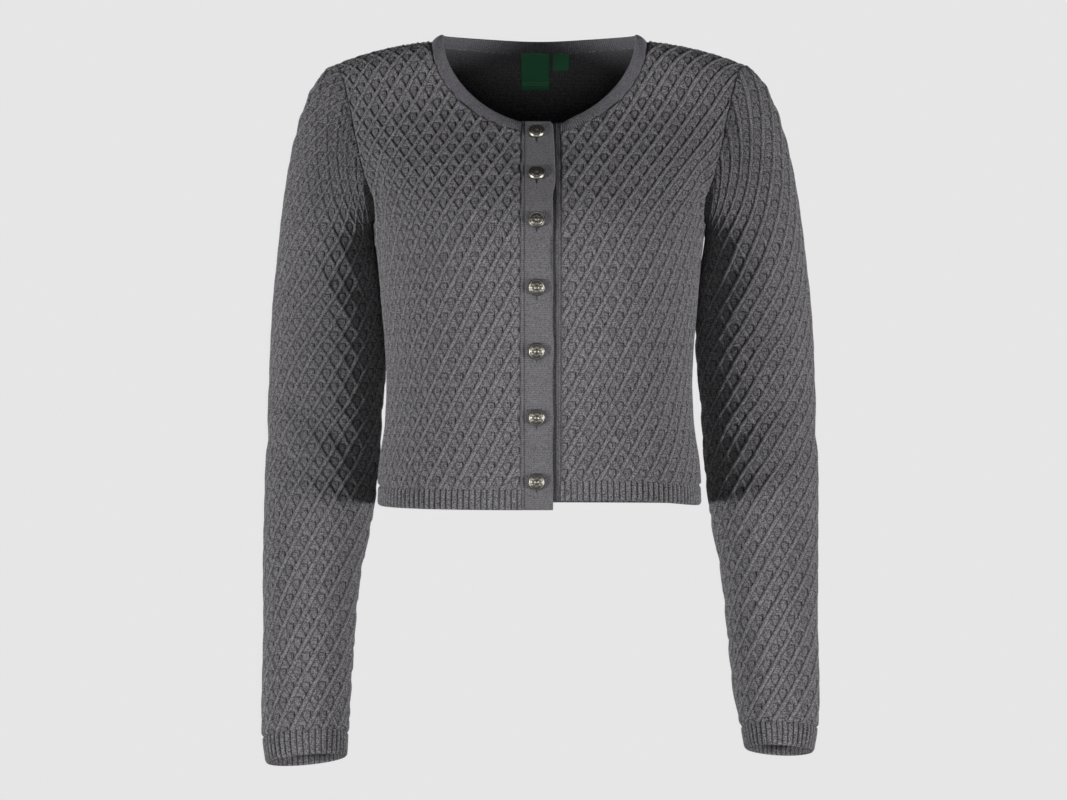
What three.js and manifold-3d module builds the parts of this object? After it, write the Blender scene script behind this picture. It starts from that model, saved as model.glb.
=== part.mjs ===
// A cropped long-sleeved knitted cardigan, buttoned and filled out as if worn, with nobody inside it.
// Units are millimetres. +Z is up, -Y is the front, and -X is the wearer's right.
// The origin lies between the two high points of the shoulders, where the wearer holds the garment up.
import * as THREE from "three";
import { mergeVertices } from "three/addons/utils/BufferGeometryUtils.js";
import Module from "manifold-3d";

const wasm = await Module();
wasm.setup();

// Driving dimensions of the cloth
const wall = 2.0; // thickness of the plain cloth
const latticeRelief = 1.1; // height of the trellis above the plain cloth
const ribRelief = 1.0; // height of each rib above the plain cloth
const seamGap = 0.32; // clearance between two pieces at a seam
const ribHeight = 18; // depth of the ribbed hem
const neckband = { width: 12, shoulderLift: 0.62, backLift: 0.85 }; // its width, and how steeply it stands up

// The figure that fills the body, from the hem to the shoulder ridge. run is the cloth length above the
// hem, z the height at the centre, drop how much lower the side lies, half the half width, front and back
// the depths either side of the side line, sideY the side line's own y, and square how square the section
// is.
const figure = [
  { run: 0, z: -432.5, drop: 1, half: 147.5, front: 103, back: 88, sideY: 0, square: 0.03 },
  { run: 33, z: -400, drop: 0, half: 146, front: 105.5, back: 86.5, sideY: 0, square: 0.03 },
  { run: 77, z: -356, drop: 0, half: 140, front: 109.5, back: 86.5, sideY: 0, square: 0.03 },
  { run: 113, z: -320, drop: 0, half: 138.5, front: 114.5, back: 90, sideY: 0, square: 0.03 },
  { run: 148, z: -285, drop: 0, half: 140, front: 120.5, back: 96, sideY: 0, square: 0.03 },
  { run: 183, z: -250, drop: 0, half: 143, front: 125, back: 102, sideY: 0, square: 0.03 },
  { run: 218, z: -215, drop: 0, half: 146, front: 126, back: 106, sideY: 0, square: 0.03 },
  { run: 257, z: -177, drop: 0, half: 151, front: 120, back: 108, sideY: 1, square: 0.03 },
  { run: 308, z: -135, drop: -3, half: 166, front: 95, back: 104, sideY: 3, square: 0.04 },
  { run: 359, z: -95, drop: -8, half: 178, front: 64, back: 97, sideY: 5, square: 0.05 },
  { run: 393, z: -65, drop: -12.3, half: 184, front: 44, back: 90, sideY: 6, square: 0.05 },
  { run: 418, z: -40, drop: -17, half: 187.5, front: 34, back: 79, sideY: 7, square: 0.05 },
  { run: 436, z: -23.3, drop: -20.5, half: 189, front: 28, back: 68, sideY: 7.5, square: 0.05 },
  { run: 451, z: -13, drop: -23.5, half: 190, front: 22, back: 55, sideY: 8, square: 0.04 },
  { run: 464, z: -6.8, drop: -25.5, half: 190, front: 16, back: 41, sideY: 8, square: 0.03 },
  { run: 476, z: -3.3, drop: -26.4, half: 190, front: 9, back: 22, sideY: 8, square: 0.02 },
  { run: 487, z: -1.8, drop: -26.4, half: 190, front: 0, back: 0, sideY: 8, square: 0.01 },
];
// The left front hangs a little higher than the right one: how much, within what half width, how much
// less at the centre, over what run above the hem it fades out, and where it starts under the upper band.
const hemLift = {
  height: 8.3,
  half: 150,
  fade: 85,
  centreShare: 0.78,
  centreWidth: 30,
  run: 110,
  start: -12,
  full: 2,
};
const dropPower = 3; // how late across the body the drop towards the side comes
const underarmRun = 257;
const ridgeRun = 487;
// Both faces share one direction along the shoulder ridge, which leans out a little, and take it up as
// they near it
const ridge = { blend: 25, lean: 0.12, held: 1.5 };
const core = { belowTop: 20, highest: -60 }; // a line inside the body, which outward directions point away from

// Armhole: how far its front and back edges are cut in from the side line, as angles round the figure
const armhole = { frontCut: 0.47, backCut: 0.39, sharpness: 0.9 };

// Neckline where the bands are sewn on: half width, depth below the ridge in front, and how far back it goes
const neckline = { half: 99, topZ: -5.8, bottomZ: -96, roundness: 1.06, backDeep: 48, backReach: 60 };

// Button bands: their edges across the front, and where they end above the hem
const bands = {
  upper: { left: -17, right: 11.5 },
  under: { left: -9.5, right: 19.5 },
  topRun: 372,
  sink: 2.4, // how far the under band lies behind the upper one
  sinkFade: 24, // width of cloth over which the left front comes back out
};

// Sleeve sections down the arm, for one side: the outer and inner outline seen from the front, the
// middle's y and the half depth. The last row is the open end of the cuff.
const sleeveSections = [
  { z: -200, outer: 243, inner: 151.5, y: 22, deep: 50 },
  { z: -243, outer: 248.5, inner: 144.5, y: 32, deep: 48 },
  { z: -290, outer: 252, inner: 145, y: 38, deep: 45 },
  { z: -340, outer: 254, inner: 149.5, y: 39, deep: 42 },
  { z: -400, outer: 255.5, inner: 153, y: 29, deep: 39 },
  { z: -450, outer: 254.5, inner: 158.5, y: 12, deep: 37 },
  { z: -500, outer: 253, inner: 167, y: -6, deep: 35 },
  { z: -550, outer: 251, inner: 171, y: -22, deep: 33 },
  { z: -600, outer: 251, inner: 174, y: -36, deep: 31 },
  { z: -640, outer: 249.5, inner: 178, y: -47, deep: 29 },
  { z: -662, outer: 245.5, inner: 180, y: -54, deep: 27 },
];
// How each sleeve departs from those sections: x moves it towards the wearer's left, wide adds to its
// half width, lift raises it and tilt lowers its outer side and raises its inner one.
const sleeveSway = {
  right: [
    { z: -200, x: 0.5, wide: -1.5, lift: 0, tilt: 0 },
    { z: -243, x: 1, wide: -1.2, lift: 0, tilt: 0 },
    { z: -290, x: 2, wide: -0.5, lift: 0, tilt: 0 },
    { z: -400, x: 2.2, wide: 0, lift: 0, tilt: 0 },
    { z: -500, x: 1, wide: 0, lift: 0.5, tilt: 0 },
    { z: -600, x: 1.5, wide: 0.5, lift: 2.5, tilt: 1.5 },
    { z: -640, x: 2.5, wide: 2, lift: 3.5, tilt: 2.3 },
    { z: -662, x: 3, wide: 2.8, lift: 3, tilt: 3.5 },
  ],
  left: [
    { z: -200, x: 2, wide: 0, lift: 0, tilt: 0 },
    { z: -290, x: 2.5, wide: 0, lift: 1, tilt: 0 },
    { z: -400, x: 2.2, wide: 0, lift: 3, tilt: 0 },
    { z: -500, x: 1, wide: 0, lift: 5.5, tilt: 0 },
    { z: -600, x: 1.5, wide: -0.5, lift: 9, tilt: 0 },
    { z: -640, x: 2.5, wide: -2, lift: 10.5, tilt: 0.5 },
    { z: -662, x: 3, wide: -2.8, lift: 11.5, tilt: 1.8 },
  ],
};
// Direction and reach of the cloth where it leaves the armhole, by where round the armhole it is
const sleeveHead = {
  outer: { x: 104, y: 0, z: -45 },
  front: { x: 40, y: -22, z: -45 },
  inner: { x: 15, y: 10, z: -12 },
  back: { x: 40, y: 26, z: -45 },
};
// Reach of the same curves where they join the first section, which grows with the distance from a point
// at the sleeve's outer edge there.
const sleeveJoin = { reach: 150, x: 240, y: 22, ease: 13 };
const armholeMiddle = { x: 165, y: 10, z: -110 };
const seamBlend = 0.4; // how far the row next to the armhole turns to the seam's direction
const cuffSeamZ = -641;

// Mesh of the knitted panels. The trellis has a crossing on every second point of the grid.
const grid = {
  rowsBelow: 14, // hem to underarm
  rowsArmhole: 14, // underarm to shoulder point
  neckRows: { front: 8, back: 5 }, // how many of the top rows end at the neckline
  columns: 16, // of one front or half back
  sleeveRows: 32,
  innerStep: 2, // the plain inside has a point for every second outer one
};
const panelRows = grid.rowsBelow + grid.rowsArmhole;

const hemRibs = { pitch: 6.9, radius: 130 }; // radius is the mean one of the hem, from which ribs are counted
const cuffRibs = 33;

// Buttons: heights of their middles below the shoulders, and their sizes
const button = {
  heights: [-95.2, -135.4, -178.3, -237.3, -292.7, -351, -407.7],
  x: -2.6,
  radius: 7.5,
  lift: 0.4, // from the band's face to the button's back
  rim: 1.6,
  dome: 4.6,
  shankRadius: 1.6,
  shankClear: 0.35, // from the shank's end to the under band
};
const buttonhole = { halfWidth: 2.1, above: 5, below: 11 };

// Labels inside the back of the neck
const labels = [
  { name: "label_main", left: -17, right: 9.5, top: -15, height: 31, thick: 0.8, lift: 0.9 },
  { name: "label_size", left: 13, right: 28, top: -16, height: 14, thick: 0.8, lift: 0.9 },
];

// Colours of the knit, the buttons and the labels
const materials = {
  knit: new THREE.MeshStandardMaterial({ color: 0x6a696c, roughness: 0.95, metalness: 0 }),
  band: new THREE.MeshStandardMaterial({ color: 0x747377, roughness: 0.92, metalness: 0 }),
  metal: new THREE.MeshStandardMaterial({ color: 0xb9b4a6, roughness: 0.35, metalness: 1 }),
  label: new THREE.MeshStandardMaterial({ color: 0x1f4a30, roughness: 0.6, metalness: 0 }),
};

const lerp = THREE.MathUtils.lerp;
const smooth = (x) => THREE.MathUtils.smoothstep(x, 0, 1);
const point = (x, y, z) => new THREE.Vector3(x, y, z);

// Reads any named column of a table as a smooth monotone cubic of its key column.
function reader(rows, key) {
  const keys = rows.map((row) => row[key]);
  const rising = keys[1] > keys[0];
  const slopes = {};
  function slopesOf(column) {
    const steps = rows.slice(1).map((row, i) => (row[column] - rows[i][column]) / (keys[i + 1] - keys[i]));
    const harmonic = (p, q) => (p * q > 0 ? (2 * p * q) / (p + q) : 0);
    const inner = steps.slice(1).map((step, i) => harmonic(step, steps[i]));
    return [steps[0], ...inner, steps[steps.length - 1]];
  }
  return (column, at) => {
    slopes[column] ??= slopesOf(column);
    let i = keys.findIndex((k, n) => n > 0 && (rising ? at <= k : at >= k));
    i = i < 0 ? rows.length - 2 : i - 1;
    const span = keys[i + 1] - keys[i];
    const t = (at - keys[i]) / span;
    const rise = 3 * t * t - 2 * t * t * t;
    const startPull = t * (1 - t) * (1 - t) * span * slopes[column][i];
    const endPull = t * t * (t - 1) * span * slopes[column][i + 1];
    return lerp(rows[i][column], rows[i + 1][column], rise) + startPull + endPull;
  };
}
const figureAt = reader(figure, "run");
const sleeveAt = reader(sleeveSections, "z");
const swayAt = { right: reader(sleeveSway.right, "z"), left: reader(sleeveSway.left, "z") };

// Finds where a function that changes sign between low and high is nought.
function solve(low, high, f) {
  const sign = f(low) > 0 ? 1 : -1;
  for (let i = 0; i < 30; i++) {
    const middle = (low + high) / 2;
    if (f(middle) * sign > 0) low = middle;
    else high = middle;
  }
  return (low + high) / 2;
}

// The outer face of the body's plain cloth: face is -1 in front and +1 behind, turn the angle from the
// centre line towards the side and run the cloth length above the hem.
function body(face, turn, run) {
  const square = figureAt("square", run);
  const across = (Math.sin(turn) + square * Math.sin(3 * turn)) / (1 - square);
  const deep = (Math.cos(turn) - square * Math.cos(3 * turn)) / (1 - square);
  const depth = figureAt(face < 0 ? "front" : "back", run);
  const y = figureAt("sideY", run) + face * depth * deep;
  const z = figureAt("z", run) + figureAt("drop", run) * Math.abs(across) ** dropPower;
  return point(figureAt("half", run) * across, y, z);
}

// A place on a front or the back: the same, with the left front's lift.
function place(face, turn, run) {
  const at = body(face, turn, run);
  if (face > 0) return at;
  const towardsSide = Math.min(1, Math.max(0, (hemLift.half - at.x) / hemLift.fade));
  const towardsCentre = lerp(hemLift.centreShare, 1, smooth(at.x / hemLift.centreWidth));
  const started = smooth((at.x - hemLift.start) / (hemLift.full - hemLift.start));
  const lift = hemLift.height * Math.sin((Math.PI / 2) * towardsSide) * towardsCentre * started;
  return at.setZ(at.z + lift * (1 - smooth(run / hemLift.run)));
}

// The turn at which the body is x wide, and the run at which the front is at height z.
function turnAt(x, run) {
  const square = figureAt("square", run);
  const share = (Math.abs(x) * (1 - square)) / figureAt("half", run);
  return Math.sign(x) * solve(0, Math.PI / 2, (turn) => Math.sin(turn) + square * Math.sin(3 * turn) - share);
}
const runAt = (x, z) => solve(0, ridgeRun, (run) => body(-1, turnAt(x, run), run).z - z);

// The outward direction of a surface of two parameters, away from the inside point.
function outward(surface, u, v, inside) {
  const step = 0.002;
  const alongU = surface(u + step, v).sub(surface(u - step, v));
  const alongV = surface(u, v + step * 100).sub(surface(u, v - step * 100));
  const normal = alongU.cross(alongV).normalize();
  return normal.dot(surface(u, v).sub(inside)) < 0 ? normal.negate() : normal;
}
function bodyNormal(face, turn, run) {
  const held = Math.min(run, ridgeRun - ridge.held);
  const inside = point(0, 0, Math.min(core.highest, figureAt("z", run) - core.belowTop));
  const normal = outward((u, v) => body(face, u, v), turn, held, inside);
  const nearRidge = smooth((run - ridgeRun) / ridge.blend + 1);
  return normal.lerp(point(ridge.lean * Math.sign(turn), 0, 1).normalize(), nearRidge).normalize();
}

// The armhole's edge on the body. around runs from 0 at the shoulder point down the front to pi at the
// underarm, and down the back to -pi.
function armholeEdge(side, around) {
  const face = Math.sin(around) >= 0 ? -1 : 1;
  const cut = face < 0 ? armhole.frontCut : armhole.backCut;
  const turn = Math.PI / 2 - cut * Math.abs(Math.sin(around)) ** armhole.sharpness;
  const run = lerp(underarmRun, ridgeRun, (1 + Math.cos(around)) / 2);
  return { face, turn: side * turn, run };
}
function armholePoint(side, around) {
  const { face, turn, run } = armholeEdge(side, around);
  return body(face, turn, run);
}

// The neckline's edge on the body. around runs from 0 at the shoulder to pi / 2 at the centre line.
function necklineEdge(face, side, around) {
  const x = neckline.half * Math.cos(around) ** neckline.roundness;
  if (face < 0) {
    const z = lerp(neckline.topZ, neckline.bottomZ, Math.sin(around) ** neckline.roundness);
    const run = around === 0 ? ridgeRun : runAt(x, z);
    return { turn: side * turnAt(x, run), run };
  }
  const y = figureAt("sideY", ridgeRun) + neckline.backDeep * Math.sin(around);
  const depthAt = (run) => body(1, turnAt(x, run), run).y - y;
  const run = around === 0 ? ridgeRun : solve(ridgeRun - neckline.backReach, ridgeRun, depthAt);
  return { turn: side * turnAt(x, run), run };
}

// The ends of one row of a front or a half back: at the centre edge or the neckline, and at the side seam
// or the armhole. centreX is the distance of the centre edge from the middle.
function rowEnds(face, side, centreX, row) {
  const hemRun = ribHeight + seamGap;
  const inFront = Math.acos((centreX / neckline.half) ** (1 / neckline.roundness));
  const centreAround = face < 0 ? inFront : Math.PI / 2;
  const centreTop = necklineEdge(face, side, centreAround).run;
  const neckRows = face < 0 ? grid.neckRows.front : grid.neckRows.back;
  const centreRows = panelRows - neckRows;
  // Below the underarm both ends rise together; above it the centre edge takes up the rest of its length.
  const chestShare = (row - grid.rowsBelow) / (centreRows - grid.rowsBelow);
  const belowRun = lerp(hemRun, underarmRun, row / grid.rowsBelow);
  const centreRun = row <= grid.rowsBelow ? belowRun : lerp(underarmRun, centreTop, chestShare);
  const onNeck = necklineEdge(face, side, (centreAround * (panelRows - row)) / neckRows);
  const atCentre = { turn: side * Math.abs(turnAt(centreX, centreRun)), run: centreRun };
  const around = (-face * Math.PI * (panelRows - row)) / grid.rowsArmhole;
  return {
    near: row < centreRows ? atCentre : onNeck,
    far: row <= grid.rowsBelow ? { turn: (side * Math.PI) / 2, run: belowRun } : armholeEdge(side, around),
  };
}

// The sleeve's ring at a height of its sections; around is 0 outside, pi / 2 in front and pi at the
// body's side.
function sleeveRing(side, z, around) {
  const reach = 8;
  const middle = (at) => point((sleeveAt("outer", at) + sleeveAt("inner", at)) / 2, sleeveAt("y", at), at);
  const down = middle(z - reach).sub(middle(z + reach)).normalize();
  const front = point(0, -1, 0).addScaledVector(down, down.y).normalize();
  const sway = side < 0 ? swayAt.right : swayAt.left;
  const wide = (sleeveAt("outer", z) - sleeveAt("inner", z)) / 2 + sway("wide", z);
  const at = middle(z)
    .addScaledVector(point(1, 0, 0), wide * Math.cos(around))
    .addScaledVector(front, sleeveAt("deep", z) * Math.sin(around));
  return point(at.x * side + sway("x", z), at.y, at.z + sway("lift", z) - sway("tilt", z) * Math.cos(around));
}

// A value given outside, in front, inside and behind, carried smoothly round the sleeve.
function carriedRound(values, axis, around) {
  const [outer, front, inner, back] = ["outer", "front", "inner", "back"].map((name) => values[name][axis]);
  const mean = (outer + front + inner + back) / 4;
  const twice = (outer + inner - front - back) / 4;
  const sideways = ((outer - inner) / 2) * Math.cos(around) + ((front - back) / 2) * Math.sin(around);
  return mean + sideways + twice * Math.cos(2 * around);
}

// The way the sleeve's cloth leaves the armhole.
function sleeveLeave(side, around) {
  const [x, y, z] = ["x", "y", "z"].map((axis) => carriedRound(sleeveHead, axis, around));
  return point(x * side, y, z);
}

// One lengthwise line of the sleeve, from the armhole down to the cuff seam.
function sleeveLine(side, around) {
  const start = armholePoint(side, around);
  const first = sleeveSections[0].z;
  const ring = sleeveRing(side, first, around);
  const leave = sleeveLeave(side, around);
  const far = start.distanceTo(point(side * sleeveJoin.x, sleeveJoin.y, first));
  const reach = (sleeveJoin.reach * start.distanceTo(ring)) / Math.sqrt(far) / sleeveJoin.ease;
  const join = sleeveRing(side, first - 4, around).sub(ring).setLength(Math.min(reach, sleeveJoin.reach));
  const line = [];
  const capSteps = 24;
  for (let i = 0; i < capSteps; i++) {
    const t = i / capSteps;
    const rise = 3 * t * t - 2 * t * t * t;
    line.push(
      start
        .clone()
        .lerp(ring, rise)
        .addScaledVector(leave, t * (1 - t) * (1 - t))
        .addScaledVector(join, t * t * (t - 1)),
    );
  }
  const tubeSteps = 60;
  for (let i = 0; i <= tubeSteps; i++) {
    line.push(sleeveRing(side, lerp(first, cuffSeamZ, i / tubeSteps), around));
  }
  return line;
}

// Points at equal steps of length along a line of points.
function evenly(line, count) {
  const lengths = [0];
  for (let i = 1; i < line.length; i++) lengths.push(lengths[i - 1] + line[i].distanceTo(line[i - 1]));
  const total = lengths[lengths.length - 1];
  let i = 0;
  return Array.from({ length: count + 1 }, (_, n) => {
    const at = (total * n) / count;
    while (i < line.length - 2 && lengths[i + 1] < at) i++;
    return line[i].clone().lerp(line[i + 1], (at - lengths[i]) / (lengths[i + 1] - lengths[i]));
  });
}

// A closed wall of cloth from two grids of points, outer[row][column] and inner[row][column]. The inner
// grid uses every step-th point, and every point along its edges. Where round is true the last column
// joins the first. high says which outer points are raised, so that each square is folded along its
// ridge.
function clothWall(outer, inner, { rowStep = 1, columnStep = 1, round = false, high = () => true }) {
  const rows = outer.length - 1;
  const columns = round ? outer[0].length : outer[0].length - 1;
  const positions = [];
  const triangles = [];
  const add = (p) => positions.push(p.x, p.y, p.z) / 3 - 1;
  const outerIds = outer.map((row) => row.map(add));
  const onEdge = (i, j) => i === 0 || i === rows || (!round && (j === 0 || j === columns));
  const used = (i, j) => (i % rowStep === 0 && j % columnStep === 0) || onEdge(i, j);
  const innerIds = inner.map((row, i) => row.map((p, j) => (used(i, j) ? add(p) : -1)));
  const o = (i, j) => outerIds[i][j % outer[0].length];
  const n = (i, j) => innerIds[i][j % inner[0].length];
  for (let i = 0; i < rows; i++)
    for (let j = 0; j < columns; j++) {
      const [a, b, c, d] = [o(i, j), o(i, j + 1), o(i + 1, j + 1), o(i + 1, j)];
      if (high(i, j)) triangles.push([a, b, c], [a, c, d]);
      else triangles.push([a, b, d], [b, c, d]);
    }
  // Each inner cell is a fan from a corner off the cloth's edges, across the shorter of its diagonals.
  for (let i = 0; i < rows; i += rowStep)
    for (let j = 0; j < columns; j += columnStep) {
      const ring = [];
      for (let k = 0; k < columnStep; k++) ring.push([i, j + k]);
      for (let k = 0; k < rowStep; k++) ring.push([i + k, j + columnStep]);
      for (let k = 0; k < columnStep; k++) ring.push([i + rowStep, j + columnStep - k]);
      for (let k = 0; k < rowStep; k++) ring.push([i + rowStep - k, j]);
      const ids = ring.filter(([p, q]) => used(p, q)).map(([p, q]) => n(p, q));
      const corners = [[i, j], [i, j + columnStep], [i + rowStep, j], [i + rowStep, j + columnStep]];
      const at = ([p, q]) => inner[p][q % inner[0].length];
      const diagonal = ([p, q]) => at([p, q]).distanceTo(at([2 * i + rowStep - p, 2 * j + columnStep - q]));
      const free = corners.filter(([p, q]) => !onEdge(p, q)).sort((a, b) => diagonal(a) - diagonal(b));
      const apex = n(...(free[0] ?? corners[0]));
      ids.forEach((id, k) => {
        const next = ids[(k + 1) % ids.length];
        if (id !== apex && next !== apex) triangles.push([apex, next, id]);
      });
    }
  function edge(count, out, inn, flip) {
    const push = (a, b, c) => triangles.push(flip ? [a, c, b] : [a, b, c]);
    for (let k = 0; k < count; k++) {
      push(out(k), inn(k), out(k + 1));
      push(out(k + 1), inn(k), inn(k + 1));
    }
  }
  edge(columns, (k) => o(0, k), (k) => n(0, k), false);
  edge(columns, (k) => o(rows, k), (k) => n(rows, k), true);
  if (!round) {
    edge(rows, (k) => o(k, 0), (k) => n(k, 0), true);
    edge(rows, (k) => o(k, columns), (k) => n(k, columns), false);
  }
  return facingOut(positions, triangles);
}

// A geometry from points and triangles, turned round as a whole if its volume is negative.
function facingOut(positions, triangles) {
  const at = (id) => point(positions[3 * id], positions[3 * id + 1], positions[3 * id + 2]);
  const volume = triangles.reduce((sum, [a, b, c]) => sum + at(a).dot(at(b).cross(at(c))), 0);
  const index = triangles.flatMap(([a, b, c]) => (volume < 0 ? [a, c, b] : [a, b, c]));
  const geometry = new THREE.BufferGeometry();
  geometry.setAttribute("position", new THREE.Float32BufferAttribute(positions, 3));
  geometry.setIndex(index);
  return geometry;
}

const raised = (i, j) => (i + j) % 2 === 0;

// How far the left front sinks behind the upper band, by its distance from the centre. Other pieces don't.
const noSink = () => 0;
const sinkAt = (x) => bands.sink * (1 - smooth((x - bands.under.right) / bands.sinkFade));

// The direction that body and sleeve share along the armhole seam, so that their cut edges stay parallel.
function seamDirection(side, around) {
  const { face, turn, run } = armholeEdge(side, around);
  const step = 0.03;
  const along = armholePoint(side, around + step).sub(armholePoint(side, around - step));
  const ofSleeve = sleeveLeave(side, around).cross(along).normalize();
  const middle = point(side * armholeMiddle.x, armholeMiddle.y, armholeMiddle.z);
  if (ofSleeve.dot(armholePoint(side, around).sub(middle)) < 0) ofSleeve.negate();
  const ofBody = bodyNormal(face, turn, run);
  if (Math.abs(Math.sin(around)) < 0.001) ofBody.add(bodyNormal(-face, turn, run)).normalize();
  return ofBody.add(ofSleeve).normalize();
}

// Grid of a panel: its outer and inner points, with the trellis raised and each edge drawn back by half a
// seam gap.
function panelGrid(face, side, centreX, sink) {
  const outer = [];
  const inner = [];
  for (let i = 0; i <= panelRows; i++) {
    outer.push([]);
    inner.push([]);
    const { near, far } = rowEnds(face, side, centreX, i);
    for (let j = 0; j <= grid.columns; j++) {
      const turn = lerp(near.turn, far.turn, j / grid.columns);
      const run = lerp(near.run, far.run, j / grid.columns);
      const base = place(face, turn, run);
      let normal = bodyNormal(face, turn, run);
      const onArmhole = j === grid.columns && i >= grid.rowsBelow;
      if (onArmhole) normal = seamDirection(side, (-face * Math.PI * (panelRows - i)) / grid.rowsArmhole);
      base.addScaledVector(normal, -sink(base.x));
      const inside = i > 0 && i < panelRows && j > 0 && j < grid.columns;
      const relief = inside && raised(i, j) ? latticeRelief : 0;
      outer[i].push(base.clone().addScaledVector(normal, relief));
      inner[i].push(base.clone().addScaledVector(normal, -wall));
    }
  }
  return { outer, inner };
}

// Draws the edge of a grid back from its seam by half the gap, square to the edge and along the cloth.
// edge holds the points along the seam and next the points one step in from it.
function drawBack(edge, next, round = false) {
  const last = edge.length - 1;
  const moves = edge.map((here, k) => {
    const before = edge[round ? (k + last) % edge.length : Math.max(k - 1, 0)];
    const after = edge[round ? (k + 1) % edge.length : Math.min(k + 1, last)];
    const along = after.clone().sub(before).normalize();
    const inwards = next[k].clone().sub(here);
    return inwards.addScaledVector(along, -inwards.dot(along)).setLength(seamGap / 2);
  });
  return moves;
}
function drawBackEdges({ outer, inner }, names, { round = false, leftFrom = 0 } = {}) {
  for (const points of [outer, inner]) {
    const rows = points.length - 1;
    const columns = points[0].length - 1;
    const edges = {
      left: [points.map((row) => row[0]), points.map((row) => row[1])],
      right: [points.map((row) => row[columns]), points.map((row) => row[columns - 1])],
      bottom: [points[0], points[1]],
      top: [points[rows], points[rows - 1]],
    };
    const moved = names.map((name) => [name, edges[name][0], drawBack(...edges[name], round)]);
    for (const [name, edge, moves] of moved)
      edge.forEach((here, k) => {
        if (name !== "left" || k >= leftFrom) here.add(moves[k]);
      });
  }
}

const wallOptions = {
  rowStep: grid.innerStep,
  columnStep: grid.innerStep,
  high: raised,
};

function frontPanel(side) {
  const centreX = side < 0 ? -bands.upper.left : bands.under.right;
  const sink = side < 0 ? noSink : sinkAt;
  const panel = panelGrid(-1, side, centreX, sink);
  drawBackEdges(panel, ["left", "right", "top"]);
  return clothWall(panel.outer, panel.inner, wallOptions);
}

// The back is two mirrored halves that share the middle column up to the neckline, where the trellis
// crosses it without a break.
function backPanel() {
  const middleRows = panelRows - grid.neckRows.back;
  const halves = [-1, 1].map((side) => {
    const panel = panelGrid(1, side, 0, noSink);
    for (let i = 1; i < middleRows; i++) {
      const { run } = rowEnds(1, side, 0, i).near;
      if (raised(i, 0)) panel.outer[i][0].addScaledVector(bodyNormal(1, 0, run), latticeRelief);
    }
    drawBackEdges(panel, ["left", "right", "top"], { leftFrom: middleRows });
    for (let i = 0; i <= middleRows; i++) {
      for (const points of [panel.outer, panel.inner]) points[i][0].setX(0);
    }
    return toManifold(clothWall(panel.outer, panel.inner, wallOptions));
  });
  return fromManifold(halves[0].add(halves[1]));
}

// Angles round the armhole for the sleeve's columns, one for each row of the body's armhole.
const sleeveColumns = 2 * grid.rowsArmhole;
const sleeveAround = Array.from({ length: sleeveColumns }, (_, j) => (2 * Math.PI * j) / sleeveColumns);

function sleeve(side) {
  const lines = sleeveAround.map((around) => evenly(sleeveLine(side, around), grid.sleeveRows));
  const directions = sleeveAround.map((around) => seamDirection(side, around));
  const outer = [];
  const inner = [];
  const count = sleeveColumns;
  for (let i = 0; i <= grid.sleeveRows; i++) {
    outer.push([]);
    inner.push([]);
    const middle = lines.reduce((sum, line) => sum.add(line[i]), point(0, 0, 0)).divideScalar(count);
    for (let j = 0; j < count; j++) {
      const base = lines[j][i].clone();
      const along = lines[j][Math.min(i + 1, grid.sleeveRows)].clone().sub(lines[j][Math.max(i - 1, 0)]);
      const across = lines[(j + 1) % count][i].clone().sub(lines[(j + count - 1) % count][i]);
      let normal = along.cross(across).normalize();
      if (normal.dot(base.clone().sub(middle)) < 0) normal.negate();
      if (i === 0) normal = directions[j].clone();
      if (i === 1) normal.lerp(directions[j], seamBlend).normalize();
      const relief = i > 1 && i < grid.sleeveRows && raised(i, j) ? latticeRelief : 0;
      outer[i].push(base.clone().addScaledVector(normal, relief));
      inner[i].push(base.clone().addScaledVector(normal, -wall));
    }
  }
  drawBackEdges({ outer, inner }, ["bottom", "top"], { round: true });
  return clothWall(outer, inner, { ...wallOptions, round: true });
}

// Ribbed cloth: two rows of points that rise on every second one. at gives the base point and outward
// direction for a share of the length and of the height.
function ribbed(count, at, round) {
  const outer = [[], []];
  const inner = [[], []];
  for (const row of [0, 1])
    for (let j = 0; j < (round ? count : count + 1); j++) {
      const { base, normal } = at(j / count, row);
      const relief = j % 2 ? ribRelief : 0;
      outer[row].push(base.clone().addScaledVector(normal, relief));
      inner[row].push(base.clone().addScaledVector(normal, -wall));
    }
  return clothWall(outer, inner, { round });
}

function hemRib(face, from, to, sink) {
  const total = 4 * Math.round(((to - from) * hemRibs.radius) / hemRibs.pitch / 2);
  return ribbed(
    total,
    (share, row) => {
      const turn = lerp(from, to, share);
      const run = row * ribHeight;
      const base = place(face, turn, run);
      const normal = bodyNormal(face, turn, run).setZ(0).normalize();
      return { base: base.addScaledVector(normal, -sink(base.x)), normal };
    },
    false,
  );
}

function cuff(side) {
  const top = cuffSeamZ - seamGap;
  const bottom = sleeveSections[sleeveSections.length - 1].z;
  return ribbed(
    2 * cuffRibs,
    (share, row) => {
      const around = share * 2 * Math.PI;
      const base = sleeveRing(side, row ? top : bottom, around);
      const opposite = sleeveRing(side, row ? top : bottom, around + Math.PI);
      return { base, normal: base.clone().sub(opposite).normalize() };
    },
    true,
  );
}

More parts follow.
